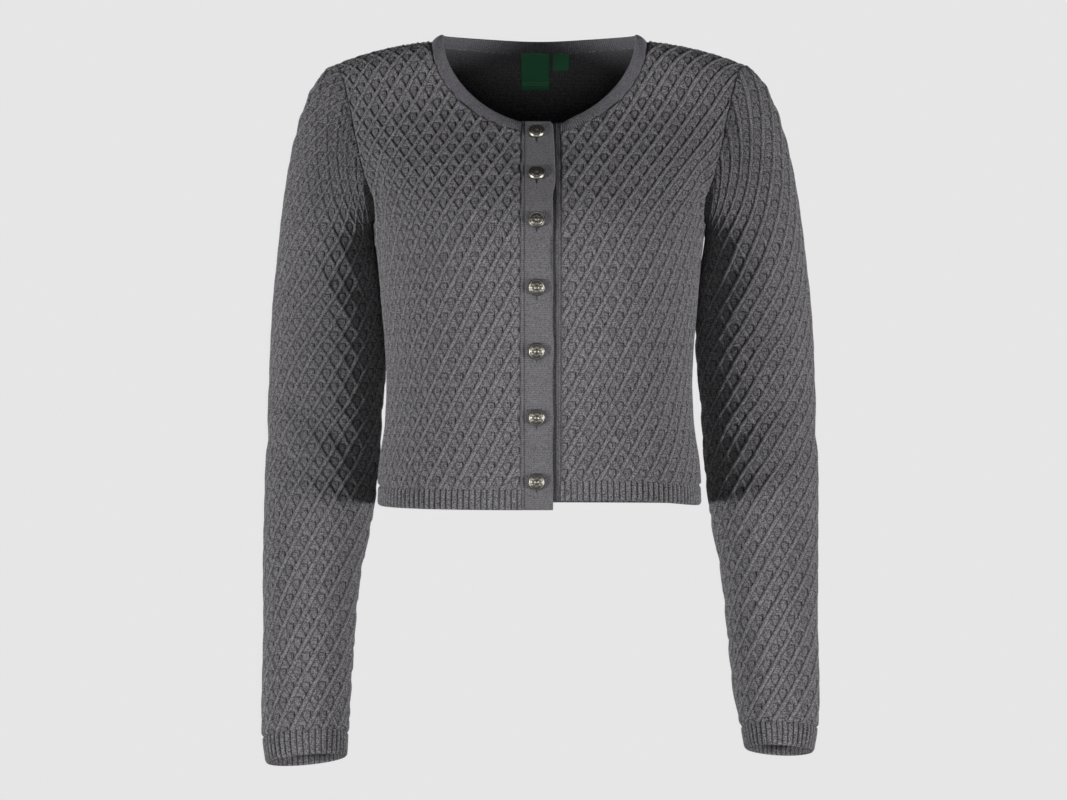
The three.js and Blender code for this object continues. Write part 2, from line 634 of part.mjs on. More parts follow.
// The neckband's seam line all round the neck, in the same steps as the panels' necklines, from the right
// front's centre edge round the back to the left front's.
function neckSeam() {
  const line = [];
  const add = (face, side, around) => {
    const { turn, run } = necklineEdge(face, side, around);
    const sink = face < 0 && side > 0 ? sinkAt : noSink;
    const normal = bodyNormal(face, turn, run);
    const base = body(face, turn, run);
    line.push({ base: base.addScaledVector(normal, -sink(base.x)), normal, face, around });
  };
  const { front, back: behind } = grid.neckRows;
  const centreAround = (x) => Math.acos((x / neckline.half) ** (1 / neckline.roundness));
  const rightEnd = centreAround(-bands.upper.left);
  const leftEnd = centreAround(bands.under.right);
  for (let k = front; k > 0; k--) add(-1, -1, (rightEnd * k) / front);
  for (let k = 0; k < behind; k++) add(1, -1, ((Math.PI / 2) * k) / behind);
  for (let k = behind; k > 0; k--) add(1, 1, ((Math.PI / 2) * k) / behind);
  for (let k = 0; k <= front; k++) add(-1, 1, (leftEnd * k) / front);
  return line;
}

// The neckband stands on the seam line: it lies along the chest in front and stands up behind.
function neckbandShape() {
  const line = neckSeam();
  const lying = [];
  line.forEach((here, k) => {
    const before = line[Math.max(k - 1, 0)].base;
    const after = line[Math.min(k + 1, line.length - 1)].base;
    const along = after.clone().sub(before).normalize();
    const inwards = along.clone().cross(here.normal).normalize();
    if (inwards.dot(point(0, 10, 0).sub(here.base)) < 0) inwards.negate();
    if (k === 0 || k === line.length - 1) inwards.setX(0).normalize();
    const { shoulderLift, backLift } = neckband;
    const frontLift = shoulderLift * Math.cos(here.around) ** 2;
    const lift = here.face > 0 ? lerp(shoulderLift, backLift, Math.sin(here.around)) : frontLift;
    const direction = inwards.addScaledVector(point(0, 0, 1), lift).normalize();
    const normal = direction.clone().cross(along).normalize();
    if (normal.dot(here.normal) < 0) normal.negate();
    lying.push({ direction, normal });
  });
  const outer = [[], []];
  const inner = [[], []];
  line.forEach(({ base, normal }, k) => {
    const { direction, normal: standing } = lying[k];
    const start = base.clone().addScaledVector(direction, seamGap / 2);
    const end = base.clone().addScaledVector(direction, neckband.width);
    outer[0].push(start.clone());
    inner[0].push(start.clone().addScaledVector(normal.clone().lerp(standing, 0.5).normalize(), -wall));
    outer[1].push(end.clone());
    inner[1].push(end.clone().addScaledVector(standing, -wall));
  });
  drawBackEdges({ outer, inner }, ["left", "right"]);
  return clothWall(outer, inner, {});
}

// A button band: a strip of plain cloth up the centre front between two edges.
function bandStrip(left, right, sink, at = body) {
  const columns = 4;
  const rows = 20;
  const outer = [];
  const inner = [];
  for (let i = 0; i <= rows; i++) {
    outer.push([]);
    inner.push([]);
    for (let j = 0; j <= columns; j++) {
      const run = lerp(0, bands.topRun, i / rows);
      const turn = turnAt(lerp(left, right, j / columns), run);
      const normal = bodyNormal(-1, turn, run);
      const base = at(-1, turn, run).addScaledVector(normal, -sink);
      outer[i].push(base.clone());
      inner[i].push(base.clone().addScaledVector(normal, -wall));
    }
  }
  return clothWall(outer, inner, {});
}

function toManifold(geometry) {
  const copy = new THREE.BufferGeometry().copy(geometry);
  const bare = mergeVertices(copy.deleteAttribute("normal").deleteAttribute("uv"), 1e-3);
  return new wasm.Manifold(
    new wasm.Mesh({
      numProp: 3,
      vertProperties: new Float32Array(bare.attributes.position.array),
      triVerts: new Uint32Array(bare.index.array),
    }),
  );
}
function fromManifold(solid) {
  const { vertProperties, triVerts } = solid.getMesh();
  const geometry = new THREE.BufferGeometry();
  geometry.setAttribute("position", new THREE.BufferAttribute(vertProperties, 3));
  geometry.setIndex(new THREE.BufferAttribute(triVerts, 1));
  return geometry;
}

// Where a button sits: the band's face there and the way it looks.
function buttonPlace(z) {
  const run = runAt(button.x, z);
  const turn = turnAt(button.x, run);
  return { at: body(-1, turn, run), normal: bodyNormal(-1, turn, run) };
}
function faceAlong(object, { at, normal }) {
  const right = point(1, 0, 0).addScaledVector(normal, -normal.x).normalize();
  const up = normal.clone().cross(right);
  object.position.copy(at);
  object.quaternion.setFromRotationMatrix(new THREE.Matrix4().makeBasis(right, up, normal));
  return object;
}

// The upper band is cut by one upright buttonhole for each button.
function buttonholeBand() {
  const { halfWidth, above, below } = buttonhole;
  const slot = new THREE.Shape();
  slot.absarc(0, above - halfWidth, halfWidth, 0, Math.PI);
  slot.absarc(0, halfWidth - below, halfWidth, Math.PI, 2 * Math.PI);
  const cutDepth = 4 * wall;
  let solid = toManifold(bandStrip(bands.upper.left + seamGap / 2, bands.upper.right, 0));
  for (const z of button.heights) {
    const settings = { depth: cutDepth, bevelEnabled: false, curveSegments: 3 };
    const cutter = new THREE.ExtrudeGeometry(slot, settings);
    cutter.translate(0, 0, -cutDepth / 2);
    const placed = faceAlong(new THREE.Object3D(), buttonPlace(z));
    placed.updateMatrix();
    solid = solid.subtract(toManifold(cutter.applyMatrix4(placed.matrix)));
  }
  return fromManifold(solid);
}

// A domed metal button with a stepped rim and a shank that reaches through the buttonhole to the under band.
function buttonShape() {
  const { radius, lift, rim, dome, shankRadius, shankClear } = button;
  const profile = [
    [0, shankClear - bands.sink],
    [shankRadius, shankClear - bands.sink],
    [shankRadius, lift],
    [radius * 0.9, lift],
    [radius, lift + rim * 0.5],
    [radius * 0.95, lift + rim],
    [radius * 0.8, lift + rim + 0.5],
    [radius * 0.62, lift + dome * 0.78],
    [radius * 0.34, lift + dome * 0.95],
    [0, lift + dome],
  ];
  const geometry = new THREE.LatheGeometry(profile.map(([r, h]) => new THREE.Vector2(r, h)), 14);
  return geometry.rotateX(Math.PI / 2);
}

// A woven label that hangs on the inside of the back: each of its points lies off the panel's own inner face.
function labelShape(back, { left, right, top, height, thick, lift }) {
  const columns = 3;
  const rows = 4;
  const outer = [];
  const inner = [];
  for (let i = 0; i <= rows; i++) {
    outer.push([]);
    inner.push([]);
    for (let j = 0; j <= columns; j++) {
      const from = point(lerp(left, right, j / columns), 0, top - (height * i) / rows);
      const [hit] = new THREE.Raycaster(from, point(0, 1, 0)).intersectObject(back);
      const inwards = hit.face.normal.clone().setX(0).normalize();
      outer[i].push(hit.point.clone().addScaledVector(inwards, lift));
      inner[i].push(hit.point.clone().addScaledVector(inwards, lift + thick));
    }
  }
  return clothWall(outer, inner, {});
}

const cardigan = new THREE.Group();
function addPiece(name, geometry, material) {
  const piece = new THREE.Mesh(geometry, material);
  piece.name = name;
  cardigan.add(piece);
  return piece;
}

const sides = [
  { side: -1, name: "right" },
  { side: 1, name: "left" },
];
for (const { side, name } of sides) {
  addPiece(`front_${name}`, frontPanel(side), materials.knit);
  addPiece(`sleeve_${name}`, sleeve(side), materials.knit);
  addPiece(`cuff_${name}`, cuff(side), materials.knit);
}
const back = addPiece("back", backPanel(), materials.knit);

const sideEdge = Math.PI / 2 - seamGap / figure[0].half;
const rightStart = Math.abs(turnAt(-bands.upper.left + seamGap / 2, 0));
const leftStart = turnAt(bands.under.right + seamGap / 2, 0);
addPiece("hem_right", hemRib(-1, -sideEdge, -rightStart, noSink), materials.knit);
addPiece("hem_left", hemRib(-1, leftStart, sideEdge, sinkAt), materials.knit);
addPiece("hem_back", hemRib(1, -sideEdge, sideEdge, noSink), materials.knit);

addPiece("neckband", neckbandShape(), materials.band);
addPiece("band_buttonhole", buttonholeBand(), materials.band);
const underBand = bandStrip(bands.under.left, bands.under.right - seamGap / 2, bands.sink, place);
addPiece("band_button", underBand, materials.band);

button.heights.forEach((z, k) => {
  const piece = addPiece(`button_${k + 1}`, buttonShape(), materials.metal);
  faceAlong(piece, buttonPlace(z));
});
for (const label of labels) addPiece(label.name, labelShape(back, label), materials.label);

export default cardigan;
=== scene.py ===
import math

import bpy
import numpy as np
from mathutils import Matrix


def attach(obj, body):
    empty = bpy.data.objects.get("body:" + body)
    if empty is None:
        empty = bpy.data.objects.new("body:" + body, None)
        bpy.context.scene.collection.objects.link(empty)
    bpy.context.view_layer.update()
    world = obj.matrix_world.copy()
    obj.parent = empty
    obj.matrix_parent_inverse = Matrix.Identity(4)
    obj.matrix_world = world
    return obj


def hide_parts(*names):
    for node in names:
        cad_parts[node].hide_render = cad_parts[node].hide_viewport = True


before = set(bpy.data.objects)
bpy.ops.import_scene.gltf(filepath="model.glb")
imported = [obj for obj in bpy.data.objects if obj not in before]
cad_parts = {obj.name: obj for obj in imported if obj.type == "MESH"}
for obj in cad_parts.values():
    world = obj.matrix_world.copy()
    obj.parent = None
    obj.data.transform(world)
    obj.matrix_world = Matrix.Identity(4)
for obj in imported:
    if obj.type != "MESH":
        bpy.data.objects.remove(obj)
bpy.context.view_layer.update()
print("stage: frame loaded")

# Lengths are in millimetres until a mesh is made. -Y is the front and -X the wearer's right.
mm = 0.001
coarse = 1.0
wall = 2.0  # thickness of the cloth
ribHeight = 18  # height of the ribbed hem
spacings = {"front": 1.25, "back": 1.7, "sleeve": 1.62}  # distance between mesh points


# A reader of any column of a table by its key column, as a smooth curve that never overshoots: between two
# rows it is a cubic whose end slopes are the harmonic means of the neighbouring steps.
def tableReader(table, keyName):
    keys = np.array(table[keyName], dtype=float)

    def read(column, at):
        values = np.array(table[column], dtype=float)
        spans = np.diff(keys)
        steps = np.diff(values) / spans
        both = steps[1:] * steps[:-1]
        total = steps[1:] + steps[:-1]
        inner = np.where(both > 0, 2 * both / np.where(both > 0, total, 1), 0)
        slopes = np.concatenate([steps[:1], inner, steps[-1:]])
        i = np.clip(np.searchsorted(keys, at, side="right") - 1, 0, len(spans) - 1)
        t = (at - keys[i]) / spans[i]
        rise = 3 * t**2 - 2 * t**3
        startPull = t * (1 - t) ** 2 * spans[i] * slopes[i]
        endPull = t**2 * (t - 1) * spans[i] * slopes[i + 1]
        return values[i] + (values[i + 1] - values[i]) * rise + startPull + endPull

    return read


def mix(a, b, share):
    return a + (b - a) * share


def smooth(x, low=0.0, high=1.0):
    t = np.clip((x - low) / (high - low), 0, 1)
    return t * t * (3 - 2 * t)


def unit(vectors):
    return vectors / np.maximum(np.linalg.norm(vectors, axis=-1, keepdims=True), 1e-9)


# A bell of height 1 at one place: e to the minus square of the distance over the width.
def bell(x, at, width):
    return np.exp(-(((x - at) / width) ** 2))


# How many mesh cells of about this spacing a length takes, as a number that four divides.
def cells(length, spacing):
    return 4 * round(length / spacing / 4)


# Halving finds where isBelow turns false between low and high, for whole arrays at once.
def halving(low, high, isBelow):
    for _ in range(34):
        middle = (low + high) / 2
        below = isBelow(middle)
        low = np.where(below, middle, low)
        high = np.where(below, high, middle)
    return (low + high) / 2


# The figure that fills the body, by the cloth's run up from the hem: the middle's height, how much lower
# the sides lie, the half width, the depths in front and behind, the side line's y, and how square the
# section is.
figure = {
    "run": [0, 33, 77, 113, 148, 183, 218, 257, 308, 359, 393, 418, 436, 451, 464, 476, 487],
    "z": [-432.5, -400, -356, -320, -285, -250, -215, -177, -135]
    + [-95, -65, -40, -23.3, -13, -6.8, -3.3, -1.8],
    "drop": [1, 0, 0, 0, 0, 0, 0, 0, -3, -8, -12.3, -17, -20.5, -23.5, -25.5, -26.4, -26.4],
    "half": [147.5, 146, 140, 138.5, 140, 143, 146, 151, 166, 178, 184, 187.5, 189, 190, 190, 190, 190],
    "front": [103, 105.5, 109.5, 114.5, 120.5, 125, 126, 120, 95, 64, 44, 34, 28, 22, 16, 9, 0],
    "back": [88, 86.5, 86.5, 90, 96, 102, 106, 108, 104, 97, 90, 79, 68, 55, 41, 22, 0],
    "sideY": [0, 0, 0, 0, 0, 0, 0, 1, 3, 5, 6, 7, 7.5, 8, 8, 8, 8],
    "square": [0.03] * 8 + [0.04, 0.05, 0.05, 0.05, 0.05, 0.04, 0.03, 0.02, 0.01],
}
dropPower = 3
underarmRun = 257
ridgeRun = 487  # the run of the shoulder ridge, where front and back meet
figureAt = tableReader(figure, "run")


# The body: an oval whose half axes are read by run, squared a little by a third harmonic, whose sides lie
# lower by the cube of the distance across. face is -1 in front and 1 behind.
def body(face, turn, run):
    square = figureAt("square", run)
    across = (np.sin(turn) + square * np.sin(3 * turn)) / (1 - square)
    deep = (np.cos(turn) - square * np.cos(3 * turn)) / (1 - square)
    depth = figureAt("front" if face < 0 else "back", run)
    x = figureAt("half", run) * across
    y = figureAt("sideY", run) + face * depth * deep
    z = figureAt("z", run) + figureAt("drop", run) * np.abs(across) ** dropPower
    return np.stack(np.broadcast_arrays(x, y, z), axis=-1)


# The body's outward direction. The two faces share one direction along the shoulder ridge, which they take
# up over the last 25 mm.
def bodyNormal(face, turn, run):
    turn, run = np.broadcast_arrays(np.asarray(turn, float), np.asarray(run, float))
    held = np.minimum(run, ridgeRun - 1.5)
    alongTurn = body(face, turn + 0.002, held) - body(face, turn - 0.002, held)
    alongRun = body(face, turn, held + 0.2) - body(face, turn, held - 0.2)
    normal = unit(np.cross(alongTurn, alongRun))
    core = np.stack([0 * held, 0 * held, np.minimum(-60, figureAt("z", held) - 20)], axis=-1)
    away = np.sum(normal * (body(face, turn, held) - core), axis=-1, keepdims=True)
    normal = np.where(away < 0, -normal, normal)
    ridge = unit(np.stack([0.12 * np.sign(turn), 0 * turn, 1 + 0 * turn], axis=-1))
    return unit(mix(normal, ridge, smooth((run - ridgeRun) / 25 + 1)[..., None]))


# The left front hangs a little higher than the right one.
hemLift = {
    "height": 8.3,
    "half": 150,
    "fade": 85,
    "centreShare": 0.78,
    "centreWidth": 30,
    "run": 110,
    "start": -12,
    "full": 2,
}


# A place on a front or the back: the body's, with the left front's lift.
def place(face, turn, run):
    at = body(face, turn, run)
    if face > 0:
        return at
    x = at[..., 0]
    towardsSide = np.clip((hemLift["half"] - x) / hemLift["fade"], 0, 1)
    towardsCentre = mix(hemLift["centreShare"], 1, smooth(x / hemLift["centreWidth"]))
    lift = hemLift["height"] * np.sin(math.pi / 2 * towardsSide) * towardsCentre
    at[..., 2] += lift * smooth(x, hemLift["start"], hemLift["full"]) * (1 - smooth(run / hemLift["run"]))
    return at


# The turn of a place by its x and run.
def turnAt(x, run):
    x, run = np.broadcast_arrays(np.asarray(x, float), np.asarray(run, float))
    square = figureAt("square", run)
    share = np.abs(x) * (1 - square) / figureAt("half", run)
    low, high = np.zeros(x.shape), np.full(x.shape, math.pi / 2)
    turn = halving(low, high, lambda t: np.sin(t) + square * np.sin(3 * t) < share)
    return np.sign(x) * turn


# The run of a place on the front by its x and z.
def runAt(x, z):
    x, z = np.broadcast_arrays(np.asarray(x, float), np.asarray(z, float))
    low, high = np.zeros(x.shape), np.full(x.shape, float(ridgeRun))
    return halving(low, high, lambda run: body(-1, turnAt(x, run), run)[..., 2] < z)


armhole = {"frontCut": 0.47, "backCut": 0.39, "sharpness": 0.9}


# The armhole's edge as turn and run. around is 0 at the shoulder point, pi at the underarm by way of the
# front, and negative behind.
def armholeEdge(side, around):
    cut = np.where(np.sin(around) >= 0, armhole["frontCut"], armhole["backCut"])
    turn = math.pi / 2 - cut * np.abs(np.sin(around)) ** armhole["sharpness"]
    return side * turn, mix(underarmRun, ridgeRun, (1 + np.cos(around)) / 2)


neckline = {"half": 99, "topZ": -5.8, "bottomZ": -96, "roundness": 1.06, "backDeep": 48}


# The neckline's edge as turn and run. around is 0 at the shoulder and pi / 2 at the centre line.
def necklineEdge(face, side, around):
    power = neckline["roundness"]
    x = neckline["half"] * np.maximum(np.cos(around), 0) ** power
    if face < 0:
        z = mix(neckline["topZ"], neckline["bottomZ"], np.sin(around) ** power)
        run = np.where(around < 1e-6, ridgeRun, runAt(x, z))
    else:
        y = figureAt("sideY", float(ridgeRun)) + neckline["backDeep"] * np.sin(around)
        low, high = np.full(x.shape, ridgeRun - 60.0), np.full(x.shape, float(ridgeRun))
        run = halving(low, high, lambda run: body(1, turnAt(x, run), run)[..., 1] > y)
        run = np.where(around < 1e-6, ridgeRun, run)
    return side * turnAt(x, run), run


def centreAround(x):
    return math.acos((x / neckline["half"]) ** (1 / neckline["roundness"]))


# Arc length of the body's section from the centre line to each turn, summed along a fine fan of turns.
def arcAcross(face, turn, run):
    runs = np.linspace(0, ridgeRun, 90)
    turns = np.linspace(0, math.pi / 2, 91)
    points = body(face, turns[None, :], runs[:, None])
    lengths = np.linalg.norm(np.diff(points, axis=1), axis=-1)
    table = np.concatenate([np.zeros((90, 1)), np.cumsum(lengths, axis=1)], axis=1)
    r = np.clip(run / ridgeRun * 89, 0, 88.999)
    t = np.clip(np.abs(turn) / (math.pi / 2) * 90, 0, 89.999)
    i, j = r.astype(int), t.astype(int)
    fr, ft = r - i, t - j
    low = mix(table[i, j], table[i, j + 1], ft)
    high = mix(table[i + 1, j], table[i + 1, j + 1], ft)
    return np.sign(turn) * mix(low, high, fr)


# How the sleeve's cloth leaves the armhole, outside, in front, inside and behind.
sleeveHead = {
    "x": [104, 40, 15, 40],
    "y": [0, -22, 10, 26],
    "z": [-45, -45, -12, -45],
}


# Values given outside, in front, inside and behind, carried round as a mean and two waves.
def carriedRound(values, around):
    outer, front, inside, behind = values
    mean = sum(values) / 4
    sideways = (outer - inside) / 2 * np.cos(around) + (front - behind) / 2 * np.sin(around)
    return mean + sideways + (outer + inside - front - behind) / 4 * np.cos(2 * around)


def sleeveLeave(side, around):
    leave = [carriedRound(sleeveHead[axis], around) for axis in "xyz"]
    return np.stack(leave, axis=-1) * np.array([side, 1, 1])


def armholePoint(side, around):
    turn, run = armholeEdge(side, around)
    return np.where((np.sin(around) >= 0)[..., None], body(-1, turn, run), body(1, turn, run))


# The direction that body and sleeve share along the armhole seam, so that their cut edges meet: the mean of
# the body's own and of the one square to the sleeve's leaving cloth.
def seamDirection(side, around):
    along = armholePoint(side, around + 0.03) - armholePoint(side, around - 0.03)
    ofSleeve = unit(np.cross(sleeveLeave(side, around), along))
    fromMiddle = armholePoint(side, around) - np.array([side * 165, 10, -110])
    away = np.sum(ofSleeve * fromMiddle, axis=-1, keepdims=True)
    ofSleeve = np.where(away < 0, -ofSleeve, ofSleeve)
    turn, run = armholeEdge(side, around)
    front, back = bodyNormal(-1, turn, run), bodyNormal(1, turn, run)
    share = smooth(np.sin(around), -0.05, 0.05)[..., None]
    return unit(unit(mix(back, front, share)) + ofSleeve)


# Outward normals of a grid of points: the cross product of its two central differences, turned to agree
# with a rough outward direction.
def gridNormals(points, outward, wrap=False):
    down = np.gradient(points, axis=0)
    if wrap:
        padded = np.concatenate([points[:, -2:-1], points, points[:, 1:2]], axis=1)
        along = (padded[:, 2:] - padded[:, :-2]) / 2
    else:
        along = np.gradient(points, axis=1)
    normals = unit(np.cross(along, down))
    return normals if np.sum(normals * outward) > 0 else -normals


# The trellis knit: the size of one diamond and its relief.
trellis = {
    "width": 14.3,
    "height": 26.3,
    "ridge": 2.0,  # height of the rising ridges over the bottom of a diamond
    "flat": 0.7,  # half width of a ridge's top
    "foot": 2.5,  # half width of its foot
    "under": 0.9,  # share of that height on the falling ridges
    "shelf": 0.6,  # the same on the shelf above a diamond's flat top
    "shelfUp": 3.4,  # height of that top above the diamond's middle
    "pad": 0.44,  # the same on the pad that fills a diamond's middle
    "padEdge": 3.7,  # distance of that pad's flat part from the ridges' middles
}


# Height of the trellis over the plain cloth, as the greatest of four: a flat-topped ridge along each rising
# diagonal, a lower one along each falling diagonal, a shelf in each diamond's upper part and a pad that
# fills the rest of it up to a narrow groove. Places in a diamond come from a = across / width + up / height
# and b = across / width - up / height.
def trellisHeight(across, up):
    a = across / trellis["width"] + up / trellis["height"]
    b = across / trellis["width"] - up / trellis["height"]
    pitch = 1 / math.hypot(1 / trellis["width"], 1 / trellis["height"])
    cellA, cellB = a - np.floor(a) - 0.5, b - np.floor(b) - 0.5
    cellUp = (cellA - cellB) * trellis["height"] / 2
    rising = 1 - smooth((0.5 - np.abs(cellB)) * pitch, trellis["flat"], trellis["foot"])
    falling = 1 - smooth((0.5 - np.abs(cellA)) * pitch, trellis["flat"], trellis["foot"])
    shelf = smooth(cellUp, trellis["shelfUp"] - 0.4, trellis["shelfUp"] + 1.2)
    toRidge = (0.5 - np.maximum(np.abs(cellA), np.abs(cellB))) * pitch
    pad = smooth(toRidge, trellis["foot"], trellis["padEdge"])
    pad = pad * (1 - smooth(cellUp, 2.2, trellis["shelfUp"]))
    parts = [rising, trellis["under"] * falling, trellis["shelf"] * shelf, trellis["pad"] * pad]
    return trellis["ridge"] * np.maximum.reduce(parts)


# Soft troughs: each is a bell across its own line, and fades out towards the line's ends.
def creaseHeight(across, up, creases):
    height = np.zeros(across.shape)
    for crease in creases:
        start, end = np.array(crease["start"], float), np.array(crease["end"], float)
        length = np.linalg.norm(end - start)
        way = (end - start) / length
        along = (across - start[0]) * way[0] + (up - start[1]) * way[1]
        off = -(across - start[0]) * way[1] + (up - start[1]) * way[0]
        ends = smooth(along, -0.3 * length, 0.35 * length) * smooth(-along, -1.3 * length, -0.65 * length)
        height += crease["depth"] * bell(off, 0, crease["width"]) * ends
    return height


# The fold along the lower part of each armhole seam, by the angle round the armhole from the shoulder
# point.
underarmFold = {"front": 7.0, "back": 4.0, "width": 4.8, "starts": (2.0, 2.5), "ends": (3.0, 3.14)}


# The fold that follows the armhole seam into the underarm: its depth by how far round the armhole and how
# far from the seam it is, deeper in front (around > 0) than behind.
def underarmHeight(around, distance):
    far = np.abs(around)
    span = smooth(far, *underarmFold["starts"]) * (1 - smooth(far, *underarmFold["ends"]))
    depth = np.where(around > 0, underarmFold["front"], underarmFold["back"])
    return -depth * span * bell(distance, 0, underarmFold["width"])


# Distance of each grid point from the named edges of its cloth, measured along the grid's own lines.
def edgeDistance(points, edges):
    rows = np.linalg.norm(np.diff(points, axis=0), axis=-1)
    columns = np.linalg.norm(np.diff(points, axis=1), axis=-1)
    up = np.concatenate([np.zeros((1, points.shape[1])), np.cumsum(rows, axis=0)])
    along = np.concatenate([np.zeros((points.shape[0], 1)), np.cumsum(columns, axis=1)], axis=1)
    distances = {
        "bottom": up,
        "top": up[-1:] - up,
        "left": along,
        "right": along[:, -1:] - along,
    }
    return np.minimum.reduce([distances[name] for name in edges])


# Builds one piece of cloth as a closed shell: the outer grid, a rounded rim, and an inner grid that keeps
# only every few points except along its edges. Material 0 is the outside and 1 the inside.
def shellParts(outer, inner, cloth, step=4, wrap=False, joined=0):
    rows, columns = outer.shape[:2]
    count = rows * columns
    step = 1 if (rows - 1) % step or (columns - 1) % step else step
    places = np.arange(count).reshape(rows, columns)
    ids = places.copy()
    if wrap:
        ids[:, -1] = ids[:, 0]

    def quads(table, a, b, c, d):
        return np.stack([table[a], table[b], table[c], table[d]], axis=-1).reshape(-1, 4)

    low, high = slice(None, -1), slice(1, None)
    around = ((low, low), (low, high), (high, high), (high, low))
    outerFaces = quads(ids, *around)
    outerCorners = quads(places, *around)

    # Inner cells away from the edges are plain squares.
    core = slice(0, None, step)
    coreIds, corePlaces = ids[core, core] + count, places[core, core]
    across = slice(None) if wrap else slice(1, -1)

    def coreQuads(table):
        a, b, c, d = table[:-1, :-1], table[1:, :-1], table[1:, 1:], table[:-1, 1:]
        return np.stack([part[1:-1, across] for part in (a, b, c, d)], axis=-1).reshape(-1, 4)

    innerFaces, innerCorners = coreQuads(coreIds), coreQuads(corePlaces)

    # Inner cells along the edges are fans that meet every point of the edge.
    fans, fanCorners = [], []
    cellRows, cellColumns = (rows - 1) // step, (columns - 1) // step
    for p in range(cellRows):
        edgeRow = p in (0, cellRows - 1)
        for q in range(cellColumns) if edgeRow else ([] if wrap else [0, cellColumns - 1]):
            i, j = p * step, q * step
            bottom, top = p == 0, p == cellRows - 1
            left, right = q == 0 and not wrap, q == cellColumns - 1 and not wrap
            ring = [(i, j + k) for k in range(step) if k == 0 or bottom]
            ring += [(i + k, j + step) for k in range(step) if k == 0 or right]
            ring += [(i + step, j + step - k) for k in range(step) if k == 0 or top]
            ring += [(i + step - k, j) for k in range(step) if k == 0 or left]
            fans.append([ids[at] + count for at in reversed(ring)])
            fanCorners.append([places[at] for at in reversed(ring)])

    # The rim runs round the edge in the outer grid's own direction.
    if wrap:
        loops = [
            [(0, j) for j in range(columns)],
            [(rows - 1, j) for j in range(columns - 1, -1, -1)],
        ]
    else:
        loop = [(0, j) for j in range(columns - 1)] + [(i, columns - 1) for i in range(rows - 1)]
        loop += [(rows - 1, j) for j in range(columns - 1, 0, -1)]
        loop += [(i, 0) for i in range(rows - 1, max(joined - 2, -1), -1)]
        loops = [loop]
    rimPoints, rimFaces, rimCorners = [], [], []
    start = 2 * count
    for loop in loops:
        i, j = np.array(loop).T
        inI = np.clip(i, 1, rows - 2)
        inJ = j if wrap else np.clip(j, 1, columns - 2)
        away = unit((outer[i, j] + inner[i, j]) / 2 - (outer[inI, inJ] + inner[inI, inJ]) / 2)
        thick = np.linalg.norm(outer[i, j] - inner[i, j], axis=-1, keepdims=True)
        closed = not joined
        rimPoints.append(((outer[i, j] + inner[i, j]) / 2 + away * 0.28 * thick)[: len(loop) - closed])
        rim = start + (np.append(np.arange(len(loop) - 1), 0) if closed else np.arange(len(loop)))
        start += len(loop) - closed
        o, n, flat = ids[i, j], ids[i, j] + count, places[i, j]
        for a, b in ((o, rim), (rim, n)):
            rimFaces.append(np.stack([a[1:], a[:-1], b[:-1], b[1:]], axis=-1))
            rimCorners.append(np.stack([flat[1:], flat[:-1], flat[:-1], flat[1:]], axis=-1))

    faces = np.concatenate([outerFaces, *rimFaces, innerFaces])
    corners = np.concatenate([outerCorners, *rimCorners, innerCorners])
    outsideCount = len(outerFaces) + sum(len(part) for part in rimFaces)
    points = np.concatenate([outer.reshape(-1, 3), inner.reshape(-1, 3), *rimPoints])
    allFaces = faces.tolist() + fans
    fanPlaces = np.array([at for fan in fanCorners for at in fan], dtype=int)
    allCorners = np.concatenate([corners.reshape(-1), fanPlaces])
    inside = np.arange(len(allFaces)) >= outsideCount
    return points, allFaces, cloth.reshape(-1, 2)[allCorners], inside.astype(int)


def clothShell(name, outer, inner, cloth, materials, step=4, wrap=False):
    points, faces, cornerCloth, materialOf = shellParts(outer, inner, cloth, step, wrap)
    return meshObject(name, points, faces, cornerCloth, materials, materialOf)


# Two shells that meet on the centre plane become one: the second one's faces are turned to match the first,
# and points of the centre column that coincide are made one.
def joinedShell(name, parts, materials):
    (p1, f1, c1, m1), (p2, f2, c2, m2) = parts
    turned = [[at + len(p1) for at in reversed(face)] for face in f2]
    ends = np.cumsum([len(face) for face in f2])
    c2 = np.concatenate([c2[start:end][::-1] for start, end in zip(np.append(0, ends[:-1]), ends)])
    points = np.concatenate([p1, p2])
    middle = np.flatnonzero(np.abs(points[:, 0]) < 1e-6)
    _, first, same = np.unique(np.round(points[middle], 4), axis=0, return_index=True, return_inverse=True)
    ids = np.arange(len(points))
    ids[middle] = middle[first[same.ravel()]]
    faces = [[ids[at] for at in face] for face in f1 + turned]
    return meshObject(name, points, faces, np.concatenate([c1, c2]), materials, np.concatenate([m1, m2]))


